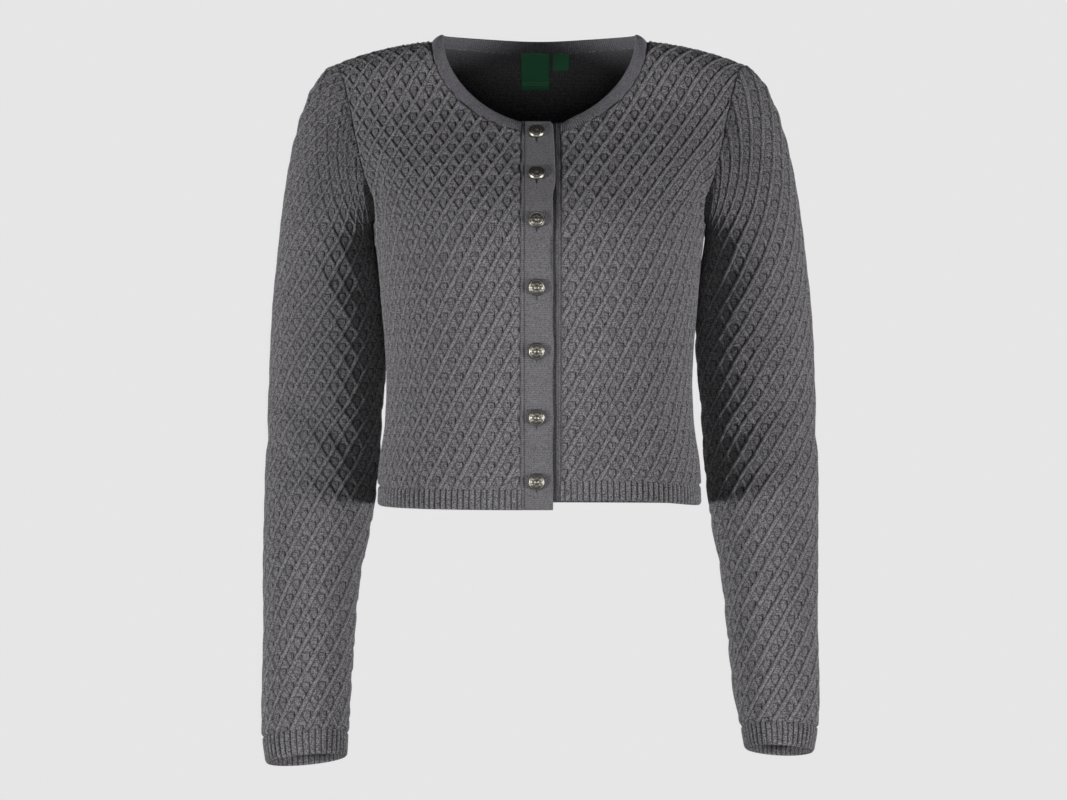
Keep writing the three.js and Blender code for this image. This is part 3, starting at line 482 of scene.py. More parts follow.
# Makes the mesh from points in millimetres, leaving out points that no face uses, with one UV map of the
# cloth's own coordinates in units of 100 mm.
def meshObject(name, points, faces, cornerCloth, materials, materialOf):
    used = np.unique(flatIds(faces))
    newId = np.full(len(points), -1)
    newId[used] = np.arange(len(used))
    lengths = np.array([len(face) for face in faces])
    loops = newId[flatIds(faces)]
    mesh = bpy.data.meshes.new(name)
    mesh.vertices.add(len(used))
    mesh.vertices.foreach_set("co", (points[used] * mm).astype(np.float32).ravel())
    mesh.loops.add(len(loops))
    mesh.loops.foreach_set("vertex_index", loops.astype(np.int32))
    mesh.polygons.add(len(faces))
    starts = np.concatenate([[0], np.cumsum(lengths)[:-1]])
    mesh.polygons.foreach_set("loop_start", starts.astype(np.int32))
    mesh.polygons.foreach_set("material_index", materialOf.astype(np.int32))
    mesh.polygons.foreach_set("use_smooth", np.ones(len(faces), dtype=bool))
    mesh.update(calc_edges=True)
    layer = mesh.uv_layers.new(name="cloth")
    layer.data.foreach_set("uv", (cornerCloth / 100).astype(np.float32).ravel())
    mesh.validate()
    for material in materials:
        mesh.materials.append(material)
    piece = bpy.data.objects.new(name, mesh)
    bpy.context.scene.collection.objects.link(piece)
    # The shell is turned inside out if its signed volume is negative.
    corners = points[used][loops]
    first = np.repeat(starts, lengths - 2)
    offsets = np.arange(len(first)) - np.repeat(np.cumsum(lengths - 2) - (lengths - 2), lengths - 2)
    p, q, r = corners[first], corners[first + offsets + 1], corners[first + offsets + 2]
    if np.sum(p * np.cross(q, r)) < 0:
        mesh.flip_normals()
    return piece


def flatIds(faces):
    return np.fromiter((at for face in faces for at in face), dtype=np.int64)


def colour(code):
    parts = [int(code[i : i + 2], 16) / 255 for i in (1, 3, 5)]
    return (*[c / 12.92 if c <= 0.04045 else ((c + 0.055) / 1.055) ** 2.4 for c in parts], 1)


# Starts a material and gives its add function. add("Math MULTIPLY", a, b) adds a node of that kind and
# mode, sets or links the inputs that it shows, in their order or by name, and gives the first output that
# it shows. A Map Range is a smooth step unless its mode is given.
def newMaterial(name):
    material = bpy.data.materials.new(name)
    material.use_nodes = True
    tree = material.node_tree
    tree.nodes.clear()
    modes = {"Math": "operation", "MapRange": "interpolation_type", "Mix": "data_type"}

    def add(kind, *values, inputs=None, output=None, **settings):
        kind, _, mode = kind.partition(" ")
        node = tree.nodes.new("ShaderNode" + kind)
        if kind in modes:
            setattr(node, modes[kind], mode or "SMOOTHSTEP")
        for key, value in settings.items():
            setattr(node, key, value)
        shown = [socket for socket in node.inputs if socket.enabled]
        named = [(node.inputs[key], value) for key, value in (inputs or {}).items()]
        for socket, value in [*zip(shown, values), *named]:
            if isinstance(value, bpy.types.NodeSocket):
                tree.links.new(value, socket)
            else:
                socket.default_value = value
        if output:
            return node.outputs[output]
        return next((socket for socket in node.outputs if socket.enabled), None)

    return material, add


# Across and up on the flat cloth, in millimetres.
def clothCoordinates(add):
    uv = add("UVMap", uv_map="cloth")
    return [add("Math MULTIPLY", add("SeparateXYZ", uv, output=axis), 100.0) for axis in "XY"]


# The V of each stitch: a wave up the wales that is bent by the distance from each wale's middle.
def stitchHeight(add, across, up, wale, course):
    column = add("Math DIVIDE", across, wale)
    legs = add("Math PINGPONG", column, 0.5)
    lean = add("Math MULTIPLY", legs, 1.3)
    row = add("Math ADD", add("Math DIVIDE", up, course), lean)
    wave = add("Math SINE", add("Math MULTIPLY", row, 2 * math.pi))
    edge = add("MapRange", legs, 0.0, 0.16)
    middle = add("MapRange", legs, 0.5, 0.4)
    between = add("Math MULTIPLY", edge, middle)
    return add("Math MULTIPLY", add("Math MULTIPLY_ADD", wave, 0.5, 0.5), between)


# Yarn whose colour goes from painted shade to full with the stitches' height, with a fine fuzz, wide soft
# patches and any painted crest highlight, and goes to the gap colour of painted shade where dark is high.
# The same heights drive the bump.
def finishKnit(add, height, dark, settings, crestHighlight=0.0):
    place = add("TexCoord", output="Object")
    fuzz = add("TexNoise", place, 860.0, 4.0)
    patch = add("TexNoise", place, 14.0, 2.0)
    speckle = add("Math MULTIPLY_ADD", add("Math SUBTRACT", fuzz, 0.5), settings["fuzz"], 0.3)
    light = add("Math MULTIPLY_ADD", height, settings["tint"], speckle)
    light = add("Math ADD", add("Math MULTIPLY_ADD", patch, 0.12, light), crestHighlight)
    base = add("Mix RGBA", light, colour(settings["shade"]), colour(settings["colour"]))
    shown = add("Mix RGBA", dark, base, colour(settings["gap"]))
    relief = add("Math MULTIPLY_ADD", fuzz, 0.35, height)
    relief = add("Math SUBTRACT", relief, add("Math MULTIPLY", dark, 1.5))
    bump = add("Bump", inputs={"Height": relief, "Distance": settings["bump"] * mm, "Strength": 1.0})
    wool = {
        "Base Color": shown,
        "Roughness": 0.93,
        "Normal": bump,
        "Sheen Weight": settings["sheen"],
        "Sheen Roughness": 0.6,
        "Sheen Tint": colour("#b9b6bd"),
    }
    add("OutputMaterial", add("BsdfPrincipled", inputs=wool))


# Matt yarn of cotton and wool: its shader gives no highlight, only a soft edge of fuzz. Depth is how dark
# the painted shade makes the cloth where it lies deep, shade and gap are the colours of painted shade at the
# stitches' bottoms and in the gaps and grooves, the crest highlight is painted along the rising ridges, and
# fuzz is how speckled.
yarn = {
    "colour": "#918f92",
    "shade": "#39383a",
    "gap": "#0f0e10",
    "depth": 0.42,
    "crestHighlight": 0.1,
    "fuzz": 4.4,
    "tint": 0.5,
    "bump": 0.9,
    "sheen": 0.1,
}

# Small marks of painted shade in each diamond: place from its middle, half width and half height, and
# strength.
paintedShadeMarks = [
    (3.3, 0.9, 0.45, 2.4, 1.0),
    (-3.4, 0.0, 0.4, 2.4, 0.6),
    (0.9, 3.0, 2.2, 0.3, 0.75),
    (0.0, -7.8, 0.6, 1.2, 0.8),
]


# Trellis knit: V stitches on the same ridges, shelf and pad as the mesh has, with painted shade where the
# cloth lies deep, small marks of painted shade at each diamond's bottom and beside its pad, a painted shadow
# beside each rising ridge and a painted highlight along its top. Places in a diamond are found as in
# trellisHeight.
def trellisMaterial(name, settings):
    material, add = newMaterial(name)
    across, up = clothCoordinates(add)
    u = add("Math DIVIDE", across, trellis["width"])
    v = add("Math DIVIDE", up, trellis["height"])
    a = add("Math SUBTRACT", add("Math FRACT", add("Math ADD", u, v)), 0.5)
    b = add("Math SUBTRACT", add("Math FRACT", add("Math SUBTRACT", u, v)), 0.5)
    cellAcross = add("Math MULTIPLY", add("Math ADD", a, b), trellis["width"] / 2)
    cellUp = add("Math MULTIPLY", add("Math SUBTRACT", a, b), trellis["height"] / 2)
    pitch = 1 / math.hypot(1 / trellis["width"], 1 / trellis["height"])

    def ridge(cell):
        off = add("Math MULTIPLY", add("Math SUBTRACT", 0.5, add("Math ABSOLUTE", cell)), pitch)
        return add("MapRange", off, trellis["foot"] - 0.1, trellis["flat"] + 0.5)

    def mark(x, y, halfWidth, halfHeight, strength):
        dx = add("Math ABSOLUTE", add("Math SUBTRACT", cellAcross, x))
        dy = add("Math ABSOLUTE", add("Math SUBTRACT", cellUp, y))
        inX = add("MapRange", dx, halfWidth + 0.5, halfWidth - 0.3)
        inY = add("MapRange", dy, halfHeight + 0.6, halfHeight - 0.4)
        return add("Math MULTIPLY", add("Math MULTIPLY", inX, inY), strength)

    shelf = add("MapRange", cellUp, trellis["shelfUp"], trellis["shelfUp"] + 0.9, 0.0, 0.8)
    furthest = add("Math MAXIMUM", add("Math ABSOLUTE", a), add("Math ABSOLUTE", b))
    toRidge = add("Math MULTIPLY", add("Math SUBTRACT", 0.5, furthest), pitch)
    pad = add("MapRange", toRidge, trellis["foot"] + 0.1, trellis["padEdge"] - 0.3, 0.0, 0.8)
    pad = add("Math MULTIPLY", pad, add("MapRange", cellUp, trellis["shelfUp"], trellis["shelfUp"] - 0.9))
    raised = add("Math MAXIMUM", add("Math MAXIMUM", ridge(b), ridge(a)), add("Math MAXIMUM", shelf, pad))
    # Painted shade where the cloth lies deep between the raised parts.
    dark = add("Math MULTIPLY", add("Math SUBTRACT", 1.0, raised), settings["depth"])
    besideRising = add("Math MULTIPLY", add("Math SUBTRACT", 0.5, add("Math ABSOLUTE", b)), pitch)
    # A painted highlight along each rising ridge's top.
    crestHighlight = add("MapRange", besideRising, 1.3, 0.5, 0.0, settings["crestHighlight"])
    # A painted shadow: a thin dark line on both sides of each rising ridge.
    besideRising = add("Math ABSOLUTE", add("Math SUBTRACT", besideRising, 2.2))
    besideRising = add("MapRange", besideRising, 0.7, 0.2, 0.0, 0.6)
    marks = [mark(x, y, w, h, strength) for x, y, w, h, strength in paintedShadeMarks]
    for part in [besideRising, *marks]:
        dark = add("Math MAXIMUM", dark, part)
    broken = add("TexNoise", add("TexCoord", output="Object"), 260.0, 2.0)
    dark = add("Math MULTIPLY", dark, add("MapRange", broken, 0.2, 0.5, 0.45, 1.0))
    height = stitchHeight(add, across, up, trellis["width"] / 8, trellis["height"] / 16)
    finishKnit(add, height, dark, settings, crestHighlight)
    return material


# Plain or ribbed knit: V stitches of the given wale and course, painted shade in the grooves between the
# ribs and, without ribs, in lines between courses, and a dotted row of linking stitches at one distance
# across.
def stitchMaterial(name, settings, wale, course, ribPitch=None, paintedRibShade=0.5, linking=None):
    material, add = newMaterial(name)
    across, up = clothCoordinates(add)
    height = stitchHeight(add, across, up, wale, course)
    if ribPitch:
        phase = add("Math PINGPONG", add("Math DIVIDE", across, ribPitch), 0.5)
        dark = add("MapRange", phase, 0.3, 0.5, 0.0, paintedRibShade)
    else:
        row = add("Math PINGPONG", add("Math DIVIDE", up, course * 2), 0.5)
        dark = add("MapRange", row, 0.35, 0.5, 0.0, 0.3)
    if linking is not None:
        beside = add("MapRange", add("Math ABSOLUTE", add("Math SUBTRACT", across, linking)), 1.0, 0.3)
        dots = add("Math PINGPONG", add("Math DIVIDE", up, course * 2), 0.5)
        dots = add("MapRange", dots, 0.1, 0.4, 0.2, 0.75)
        dark = add("Math MAXIMUM", dark, add("Math MULTIPLY", beside, dots))
    finishKnit(add, height, dark, settings)
    return material


# The inside's yarn is the outer yarn made darker: painted shade for the inside of the cardigan.
shadedInsideYarn = {**yarn, "colour": "#67656a", "tint": 0.55, "bump": 0.4}
trellisKnit = trellisMaterial("trellis knit, mid grey yarn", yarn)
purlSide = stitchMaterial("purl side of the knit", shadedInsideYarn, 2.4, 1.7)
print("stage: trellis knit made")

# The button bands: the edges' x, the top's run, how far the under band lies back and how the upper band's
# free edge waves out, by height.
bands = {
    "upperLeft": -17,
    "upperRight": 11.5,
    "underLeft": -9.5,
    "underRight": 19.5,
    "topRun": 372,
    "sink": 2.4,
    "sinkFade": 24,
    "spacing": 1.3,
    "waveZ": [-430, -408, -380, -351, -322, -290, -262, -236, -218, -201, -178, -157, -140, -114, -84],
    "waveOut": [0, 0, -1, 0.3, -1, 0.5, -1.2, 0, -2.4, -2.8, 0, -0.6, 2.1, 1.6, 0],
}


# How far the left front lies back near the under band.
def sinkAt(x):
    return bands["sink"] * (1 - smooth((x - bands["underRight"]) / bands["sinkFade"]))


# The panels' cloth above the underarm, round half the body, and the share of the height above the underarm
# where the centre edge ends and the neckline starts.
panel = {"lengthAbove": 205, "girth": 206, "frontCentre": 6 / 14, "backCentre": 9 / 14}
seamBlend = 10  # over this distance from an armhole, the cloth turns to the seam's own direction

# Soft troughs and ridges in the cloth, in cloth millimetres: across from the centre line (or round from the
# sleeve's outer line towards the front) and up from the hem (or the cuff seam).
frontCreases = [
    {"start": (178, 262), "end": (150, 330), "depth": -5.0, "width": 13},
    {"start": (196, 205), "end": (170, 262), "depth": -3.0, "width": 12},
    {"start": (60, 60), "end": (150, 110), "depth": -1.2, "width": 18},
]
backCreases = [
    {"start": (180, 262), "end": (150, 340), "depth": -4.0, "width": 14},
    {"start": (60, 120), "end": (160, 160), "depth": -2.0, "width": 22},
    {"start": (40, 180), "end": (150, 205), "depth": -1.5, "width": 20},
]


# One front or half back as a grid of rows that run from the centre edge, and above it the neckline, to the
# side seam, and above it the armhole. Straight rows in turn and run are laid on the body.
def panelSurface(face, side, centreX, centreShare):
    spacing = spacings["front" if face < 0 else "back"] * coarse
    hemRun = ribHeight + 0.3
    rowsBelow = cells(underarmRun - hemRun, spacing)
    rowsAbove = cells(panel["lengthAbove"], spacing)
    columns = cells(panel["girth"] - centreX, spacing)
    row = np.arange(rowsBelow + rowsAbove + 1)
    above = np.clip((row - rowsBelow) / rowsAbove, 0, 1)
    below = np.clip(row / rowsBelow, 0, 1)
    topAround = centreAround(centreX) if face < 0 else math.pi / 2
    topRun = float(necklineEdge(face, side, np.array([topAround]))[1][0])
    belowRun = mix(hemRun, underarmRun, below)
    centreRun = np.where(above > 0, mix(underarmRun, topRun, np.clip(above / centreShare, 0, 1)), belowRun)
    neckShare = np.clip((above - centreShare) / (1 - centreShare), 0, 1)
    neckTurn, neckRun = necklineEdge(face, side, topAround * (1 - neckShare))
    onNeck = above > centreShare
    nearTurn = np.where(onNeck, neckTurn, side * np.abs(turnAt(centreX, centreRun)))
    nearRun = np.where(onNeck, neckRun, centreRun)
    armTurn, armRun = armholeEdge(side, -face * math.pi * (1 - above))
    farTurn = np.where(above > 0, armTurn, side * math.pi / 2)
    farRun = np.where(above > 0, armRun, belowRun)
    share = np.linspace(0, 1, columns + 1)[None, :]
    turn = mix(nearTurn[:, None], farTurn[:, None], share)
    run = mix(nearRun[:, None], farRun[:, None], share)
    points = place(face, turn, run)
    across = arcAcross(face, turn, run)
    normals = bodyNormal(face, turn, run)
    armAround = -face * math.pi * (1 - above)
    toSide = edgeDistance(points, ["right"])
    toSeam = np.where(above[:, None] > 0, toSide, 99)
    seam = seamDirection(side, armAround)[:, None]
    normals = unit(mix(seam, normals, smooth(toSeam[..., None], 0, seamBlend)))
    underarm = np.where(above > 0, underarmHeight(armAround, 0.0), 0.0)[:, None]
    underarm = underarm * bell(toSeam, 0, underarmFold["width"])
    return {
        "points": points,
        "normals": normals,
        "across": across,
        "up": run,
        "middle": above <= centreShare,
        "underarm": underarm,
        "toSide": toSide,
    }


# The outer and inner faces of a panel: the trellis, which ends short of the named edges, and the creases,
# along the body's normals.
def finishPanel(grid, creases, edges, sink=None):
    points, across, up, normals = grid["points"], grid["across"], grid["up"], grid["normals"]
    distance = edgeDistance(points, edges)
    fade = smooth(distance, 0.2, 2.4) * smooth(grid["toSide"], -0.6, 0.6)
    height = fade * trellisHeight(across, up) - 0.3 * (1 - smooth(distance, 0.0, 1.6))
    toEdge = np.minimum(distance, grid["toSide"])
    height = height + creaseHeight(np.abs(across), up, creases) * smooth(toEdge, 0.0, 14.0)
    height = height + grid["underarm"]
    if sink is not None:
        height = height - sink(points[..., 0])
    innerHeight = np.minimum(height, 0) - wall
    return points + normals * height[..., None], points + normals * innerHeight[..., None]


pieces = {}
for side, name in ((-1, "right"), (1, "left")):
    centreX = -bands["upperLeft"] + 0.15 if side < 0 else bands["underRight"] + 0.15
    grid = panelSurface(-1, side, centreX, panel["frontCentre"])
    sink = None if side < 0 else sinkAt
    outer, inner = finishPanel(grid, frontCreases, ["bottom", "top", "left"], sink)
    cloth = np.stack([grid["across"], grid["up"]], axis=-1)
    pieces[f"front_{name}"] = clothShell(f"knit_front_{name}", outer, inner, cloth, [trellisKnit, purlSide])

# The back: both halves in one mesh, welded along the middle up to the neckline.
halves = []
for side in (-1, 1):
    grid = panelSurface(1, side, 0.0, panel["backCentre"])
    grid["points"][grid["middle"], 0, 0] = 0
    outer, inner = finishPanel(grid, backCreases, ["bottom", "top"])
    outer[grid["middle"], 0, 0] = inner[grid["middle"], 0, 0] = 0
    cloth = np.stack([grid["across"], grid["up"]], axis=-1)
    halves.append((outer, inner, cloth, int(grid["middle"].sum())))
parts = [shellParts(outer, inner, cloth, joined=joined) for outer, inner, cloth, joined in halves]
pieces["back"] = joinedShell("knit_back", parts, [trellisKnit, purlSide])
print("stage: body panels made")

# Sleeve sections by height: the outer and inner outline seen from the front, the middle's y and the half
# depth.
sleeveSections = {
    "z": [-662, -640, -600, -550, -500, -450, -400, -340, -290, -243, -200],
    "outer": [245.5, 249.5, 251, 251, 253, 254.5, 255.5, 254, 252, 248.5, 243],
    "inner": [180, 178, 174, 171, 167, 158.5, 153, 149.5, 145, 144.5, 151.5],
    "y": [-54, -47, -36, -22, -6, 12, 29, 39, 38, 32, 22],
    "deep": [27, 29, 31, 33, 35, 37, 39, 42, 45, 48, 50],
}

# How each sleeve departs from those sections: x moves it towards the wearer's left, wide adds to its half
# width, lift raises it, and tilt lowers its outer side and raises its inner one.
sleeveSway = {
    -1: {
        "z": [-662, -640, -600, -500, -400, -290, -243, -200],
        "x": [3, 2.5, 1.5, 1, 2.2, 2, 1, 0.5],
        "wide": [2.8, 2, 0.5, 0, 0, -0.5, -1.2, -1.5],
        "lift": [3, 3.5, 2.5, 0.5, 0, 0, 0, 0],
        "tilt": [3.5, 2.3, 1.5, 0, 0, 0, 0, 0],
    },
    1: {
        "z": [-662, -640, -600, -500, -400, -290, -200],
        "x": [3, 2.5, 1.5, 1, 2.2, 2.5, 2],
        "wide": [-2.8, -2, -0.5, 0, 0, 0, 0],
        "lift": [11.5, 10.5, 9, 5.5, 3, 1, 0],
        "tilt": [1.8, 0.5, 0, 0, 0, 0, 0],
    },
}
sleeveReach = 150  # how far the sleeve's curves carry on at most from the first ring towards the armhole
cuffSeamZ = -641
cuffEndZ = -662
sleeveLengths = {"girth": 300, "cap": 170, "tube": 455}
sleeveAt = tableReader(sleeveSections, "z")
swayAt = {side: tableReader(sleeveSway[side], "z") for side in sleeveSway}


# A sleeve's ring: an oval square to the arm's own line, which runs through the middles of the sections.
def sleeveRing(side, z, around):
    reach = 8.0

    def middle(at):
        x = (sleeveAt("outer", at) + sleeveAt("inner", at)) / 2
        return np.stack(np.broadcast_arrays(x, sleeveAt("y", at), at), axis=-1)

    down = unit(middle(z - reach) - middle(z + reach))
    front = unit(np.array([0, -1.0, 0]) + down * down[..., 1:2])
    sway = swayAt[side]
    wide = (sleeveAt("outer", z) - sleeveAt("inner", z)) / 2 + sway("wide", z)
    across = np.array([1.0, 0, 0]) * (wide * np.cos(around))[..., None]
    point = middle(z) + across + front * (sleeveAt("deep", z) * np.sin(around))[..., None]
    point = point * np.array([side, 1, 1])
    point[..., 0] += sway("x", z)
    point[..., 2] += sway("lift", z) - sway("tilt", z) * np.cos(around)
    return point


sleeveCreases = [
    {"start": (20, 330), "end": (110, 255), "depth": -3.0, "width": 14},
    {"start": (-10, 290), "end": (90, 215), "depth": -2.2, "width": 12},
    {"start": (60, 470), "end": (130, 400), "depth": -2.5, "width": 12},
]


# The whole sleeve as a grid, from the armhole down: a cap of Hermite curves from the armhole to the first
# ring, and below it the rings.
def sleeveSurface(side, columns, capRows, tubeRows):
    around = np.linspace(-math.pi, math.pi, columns + 1)
    start = armholePoint(side, around)
    first = sleeveSections["z"][-1]
    ring = sleeveRing(side, np.full(around.shape, float(first)), around)
    leave = sleeveLeave(side, around)
    gap = np.linalg.norm(start - ring, axis=-1)
    far = np.linalg.norm(start - np.array([side * 240.0, 22.0, first]), axis=-1)
    reach = np.minimum(sleeveReach * gap / np.sqrt(far) / 13, sleeveReach)
    join = unit(sleeveRing(side, np.full(around.shape, first - 4.0), around) - ring) * reach[:, None]
    t = (np.arange(capRows) / capRows)[:, None, None]
    rise = 3 * t**2 - 2 * t**3
    cap = mix(start, ring, rise) + leave * (t * (1 - t) ** 2) + join * (t**2 * (t - 1))
    z = np.linspace(first, cuffSeamZ + 0.15, tubeRows + 1)[:, None] + np.zeros(columns + 1)
    tube = sleeveRing(side, z, around[None, :] + np.zeros(z.shape))
    points = np.concatenate([cap, tube])
    points[:, -1] = points[:, 0]
    steps = np.linalg.norm(np.diff(points, axis=0), axis=-1)
    middle = points[:, :-1].mean(axis=1)
    middleSteps = np.linalg.norm(np.diff(middle, axis=0), axis=-1)
    tubeLength = np.concatenate([np.cumsum(middleSteps[::-1])[::-1], [0]])
    up = np.repeat(tubeLength[:, None], columns + 1, axis=1)
    capLength = np.cumsum(steps[:capRows][::-1], axis=0)[::-1]
    up[:capRows] = up[capRows] + capLength
    widths = np.linalg.norm(np.diff(points, axis=1), axis=-1)
    total = np.concatenate([np.zeros((len(points), 1)), np.cumsum(widths, axis=1)], axis=1)
    outerColumn = columns // 2
    across = (total[:, outerColumn : outerColumn + 1] - total) * side
    return points, across, up, middle, around


for side, name in ((-1, "right"), (1, "left")):
    spacing = spacings["sleeve"] * coarse
    columns, capRows, tubeRows = (cells(sleeveLengths[part], spacing) for part in ("girth", "cap", "tube"))
    points, across, up, middle, around = sleeveSurface(side, columns, capRows, tubeRows)
    distance = edgeDistance(points, ["top"])
    fromTop = edgeDistance(points, ["bottom"])
    normals = gridNormals(points, points - middle[:, None], wrap=True)
    shared = seamDirection(side, around)[None]
    normals = unit(mix(shared, normals, smooth(fromTop[..., None], 0, seamBlend)))
    seam = edgeDistance(points, ["left", "right"])
    fade = smooth(distance, 0.2, 2.4) * smooth(fromTop, -0.6, 0.6)
    height = fade * trellisHeight(across, up) - 0.3 * (1 - smooth(distance, 0.0, 1.6))
    height = height - bell(seam, 0, 1.6) * fade + underarmHeight(around, fromTop)
    toEdge = np.minimum(distance, fromTop)
    height = height + creaseHeight(-across * side, up, sleeveCreases) * smooth(toEdge, 0.0, 14.0)
    height[:, -1] = height[:, 0]
    outer = points + normals * height[..., None]
    inner = points + normals * (np.minimum(height, 0) - wall)[..., None]
    cloth = np.stack([across, up], axis=-1)
    piece = clothShell(f"knit_sleeve_{name}", outer, inner, cloth, [trellisKnit, purlSide], wrap=True)
    pieces[f"sleeve_{name}"] = piece
print("stage: sleeves made")

# The ribs of hem and cuffs: their pitch on the hem, their relief and how many mesh cells each takes.
hemRibs = {"pitch": 5.4, "relief": 1.4, "samples": 8}
cuffRibs = {"count": 42, "relief": 1.3, "samples": 8}
# The rib yarn's gap colour is the colour of painted shade in the rib grooves.
ribYarn = {**yarn, "gap": "#121114"}
ribKnit = stitchMaterial("wide rib knit", ribYarn, hemRibs["pitch"] / 3, 1.5, hemRibs["pitch"], 0.92)


# Ribbed cloth: the outer face swells into round ribs, and the lower edge is drawn in a little where it is
# cast off.
def ribbedShell(name, points, outward, across, up, ribs, wrap):
    normals = gridNormals(points, outward, wrap)
    rib = np.abs(np.cos(math.pi * across / hemRibs["pitch"])) ** 0.8
    ends = smooth(np.minimum(up, up.max() - up), -1.0, 2.5)
    height = ribs["relief"] * rib * ends - 0.3 * (1 - ends)
    outer = points + normals * height[..., None]
    inner = points - normals * wall
    cloth = np.stack([across, up], axis=-1)
    return clothShell(name, outer, inner, cloth, [ribKnit, ribKnit], step=1, wrap=wrap)


# A strip of hem between two turns, with a whole number of ribs of equal width.
def hemSurface(face, fromTurn, toTurn, sink=None):
    turns = np.linspace(fromTurn, toTurn, 721)
    arc = arcAcross(face, turns, np.full(turns.shape, ribHeight / 2))
    ribs = round((arc[-1] - arc[0]) / hemRibs["pitch"])
    samples = hemRibs["samples"] if coarse == 1 else 4
    across = np.linspace(arc[0], arc[-1], ribs * samples + 1)
    turn = np.interp(across, arc, turns)
    run = np.linspace(0, ribHeight, 13)[:, None]
    points = place(face, turn[None, :], run)
    if sink is not None:
        points[..., 1] += sink(points[..., 0])
    pitch = (arc[-1] - arc[0]) / ribs
    across = (across - across[0]) / pitch * hemRibs["pitch"]
    return points, *np.broadcast_arrays(across[None], run)


sideEdge = math.pi / 2 - 0.0022
rightStart = abs(float(turnAt(bands["upperLeft"] - 0.15, 0.0)))
leftStart = float(turnAt(bands["underRight"] + 0.15, 0.0))
for name, face, fromTurn, toTurn, sink in (
    ("hem_right", -1, -sideEdge, -rightStart, None),
    ("hem_left", -1, leftStart, sideEdge, sinkAt),
    ("hem_back", 1, -sideEdge, sideEdge, None),
):
    points, across, up = hemSurface(face, fromTurn, toTurn, sink)
    outward = points * np.array([1, 1, 0])
    pieces[name] = ribbedShell(f"rib_{name}", points, outward, across, up, hemRibs, False)

for side, name in ((-1, "right"), (1, "left")):
    samples = cuffRibs["samples"] if coarse == 1 else 4
    columns = cuffRibs["count"] * samples
    around = np.linspace(-math.pi, math.pi, columns + 1)
    z = np.linspace(cuffEndZ, cuffSeamZ - 0.3, 15)[:, None] + np.zeros(columns + 1)
    points = sleeveRing(side, z, around[None, :] + np.zeros(z.shape))
    points[:, -1] = points[:, 0]
    middle = points[:, :-1].mean(axis=1)
    across = np.arange(columns + 1)[None] / samples * hemRibs["pitch"] + np.zeros(z.shape)
    lengths = np.linalg.norm(np.diff(middle, axis=0), axis=-1)
    up = np.concatenate([[0], np.cumsum(lengths)])[:, None] + np.zeros(z.shape)
    outward = points - middle[:, None]
    pieces[f"cuff_{name}"] = ribbedShell(f"rib_cuff_{name}", points, outward, across, up, cuffRibs, True)
print("stage: ribs made")

# The neckband's ribs, its width and swelling, and how far it stands up at the shoulders and behind.
neckRibs = {
    "pitch": 2.2,
    "relief": 0.8,
    "samples": 5,
    "rows": 12,
    "width": 12,
    "puff": 0.9,
    "shoulderLift": 0.62,
    "backLift": 0.85,
}
bandYarn = {**yarn, "colour": "#78767a", "shade": "#464548", "fuzz": 2.8, "tint": 0.5, "bump": 0.35}
neckYarn = {**bandYarn, "colour": "#737177", "shade": "#3f3e42"}
neckPitch = neckRibs["pitch"]
neckKnit = stitchMaterial("fine rib knit of the neckband", neckYarn, neckPitch, 1.3, neckPitch, 0.8)


# The neckband stands on the neckline: it lies along the chest in front and stands up behind. Its outer face
# swells between the seam and the folded edge.
def neckbandShell():
    seam = []
    for face, side, start, end in (
        (-1, -1, centreAround(-bands["upperLeft"]), 0),
        (1, -1, 0, math.pi / 2),
        (1, 1, math.pi / 2, 0),
        (-1, 1, 0, centreAround(bands["underRight"])),
    ):
        around = np.linspace(start, end, 241)[: 241 if (face, side) == (-1, 1) else 240]
        turn, run = necklineEdge(face, side, around)
        base = body(face, turn, run)
        normal = bodyNormal(face, turn, run)
        if face < 0 and side > 0:
            base = base - normal * sinkAt(base[:, 0])[:, None]
        seam.append((base, normal, np.full(turn.shape, face), around))
    base, normal, face, around = (np.concatenate([part[k] for part in seam]) for k in range(4))
    length = np.concatenate([[0], np.cumsum(np.linalg.norm(np.diff(base, axis=0), axis=-1))])
    ribs = round(length[-1] / neckRibs["pitch"])
    samples = neckRibs["samples"] if coarse == 1 else 2
    along = np.linspace(0, length[-1], ribs * samples + 1)

    def spread(values):
        return np.stack([np.interp(along, length, column) for column in values.T], axis=-1)

    base, normal = spread(base), unit(spread(normal))
    low, high = neckRibs["shoulderLift"], neckRibs["backLift"]
    lift = np.where(face > 0, mix(low, high, np.sin(around)), low * np.cos(around) ** 2)
    lift = np.interp(along, length, lift)
    tangent = unit(np.gradient(base, axis=0))
    inwards = unit(np.cross(tangent, normal))
    inwards *= np.sign(np.sum(inwards * (np.array([0, 10.0, 0]) - base), axis=-1, keepdims=True))
    upright = unit(inwards * np.array([0, 1, 1]))
    endFade = smooth(np.minimum(along, length[-1] - along), 0, 14)[:, None]
    inwards = unit(mix(upright, inwards, endFade))
    direction = unit(inwards + lift[:, None] * np.array([0, 0, 1.0]))
    standing = unit(np.cross(direction, tangent))
    standing *= np.sign(np.sum(standing * normal, axis=-1, keepdims=True))
    heights = np.linspace(0.15, neckRibs["width"], neckRibs["rows"] + 1)[:, None]
    share = (heights - heights[0]) / (heights[-1] - heights[0])
    rib = np.abs(np.cos(math.pi * along / neckRibs["pitch"]))[None, :] ** 0.8
    swell = neckRibs["puff"] * np.sin(math.pi * np.clip(share, 0, 1)) ** 0.6 - 0.4
    ends = np.sin(math.pi * np.clip(share * 0.94 + 0.03, 0, 1)) ** 0.4
    outHeight = swell + neckRibs["relief"] * rib * ends
    points = base[None] + direction[None] * heights[..., None]
    outer = points + standing[None] * outHeight[..., None]
    inner = points - standing[None] * (wall + 0.2 + 0.5 * np.sin(math.pi * share))[..., None]
    cloth = np.stack(np.broadcast_arrays(along[None], heights), axis=-1)
    return clothShell("rib_neckband", outer, inner, cloth, [neckKnit, neckKnit], step=1)


pieces["neckband"] = neckbandShell()

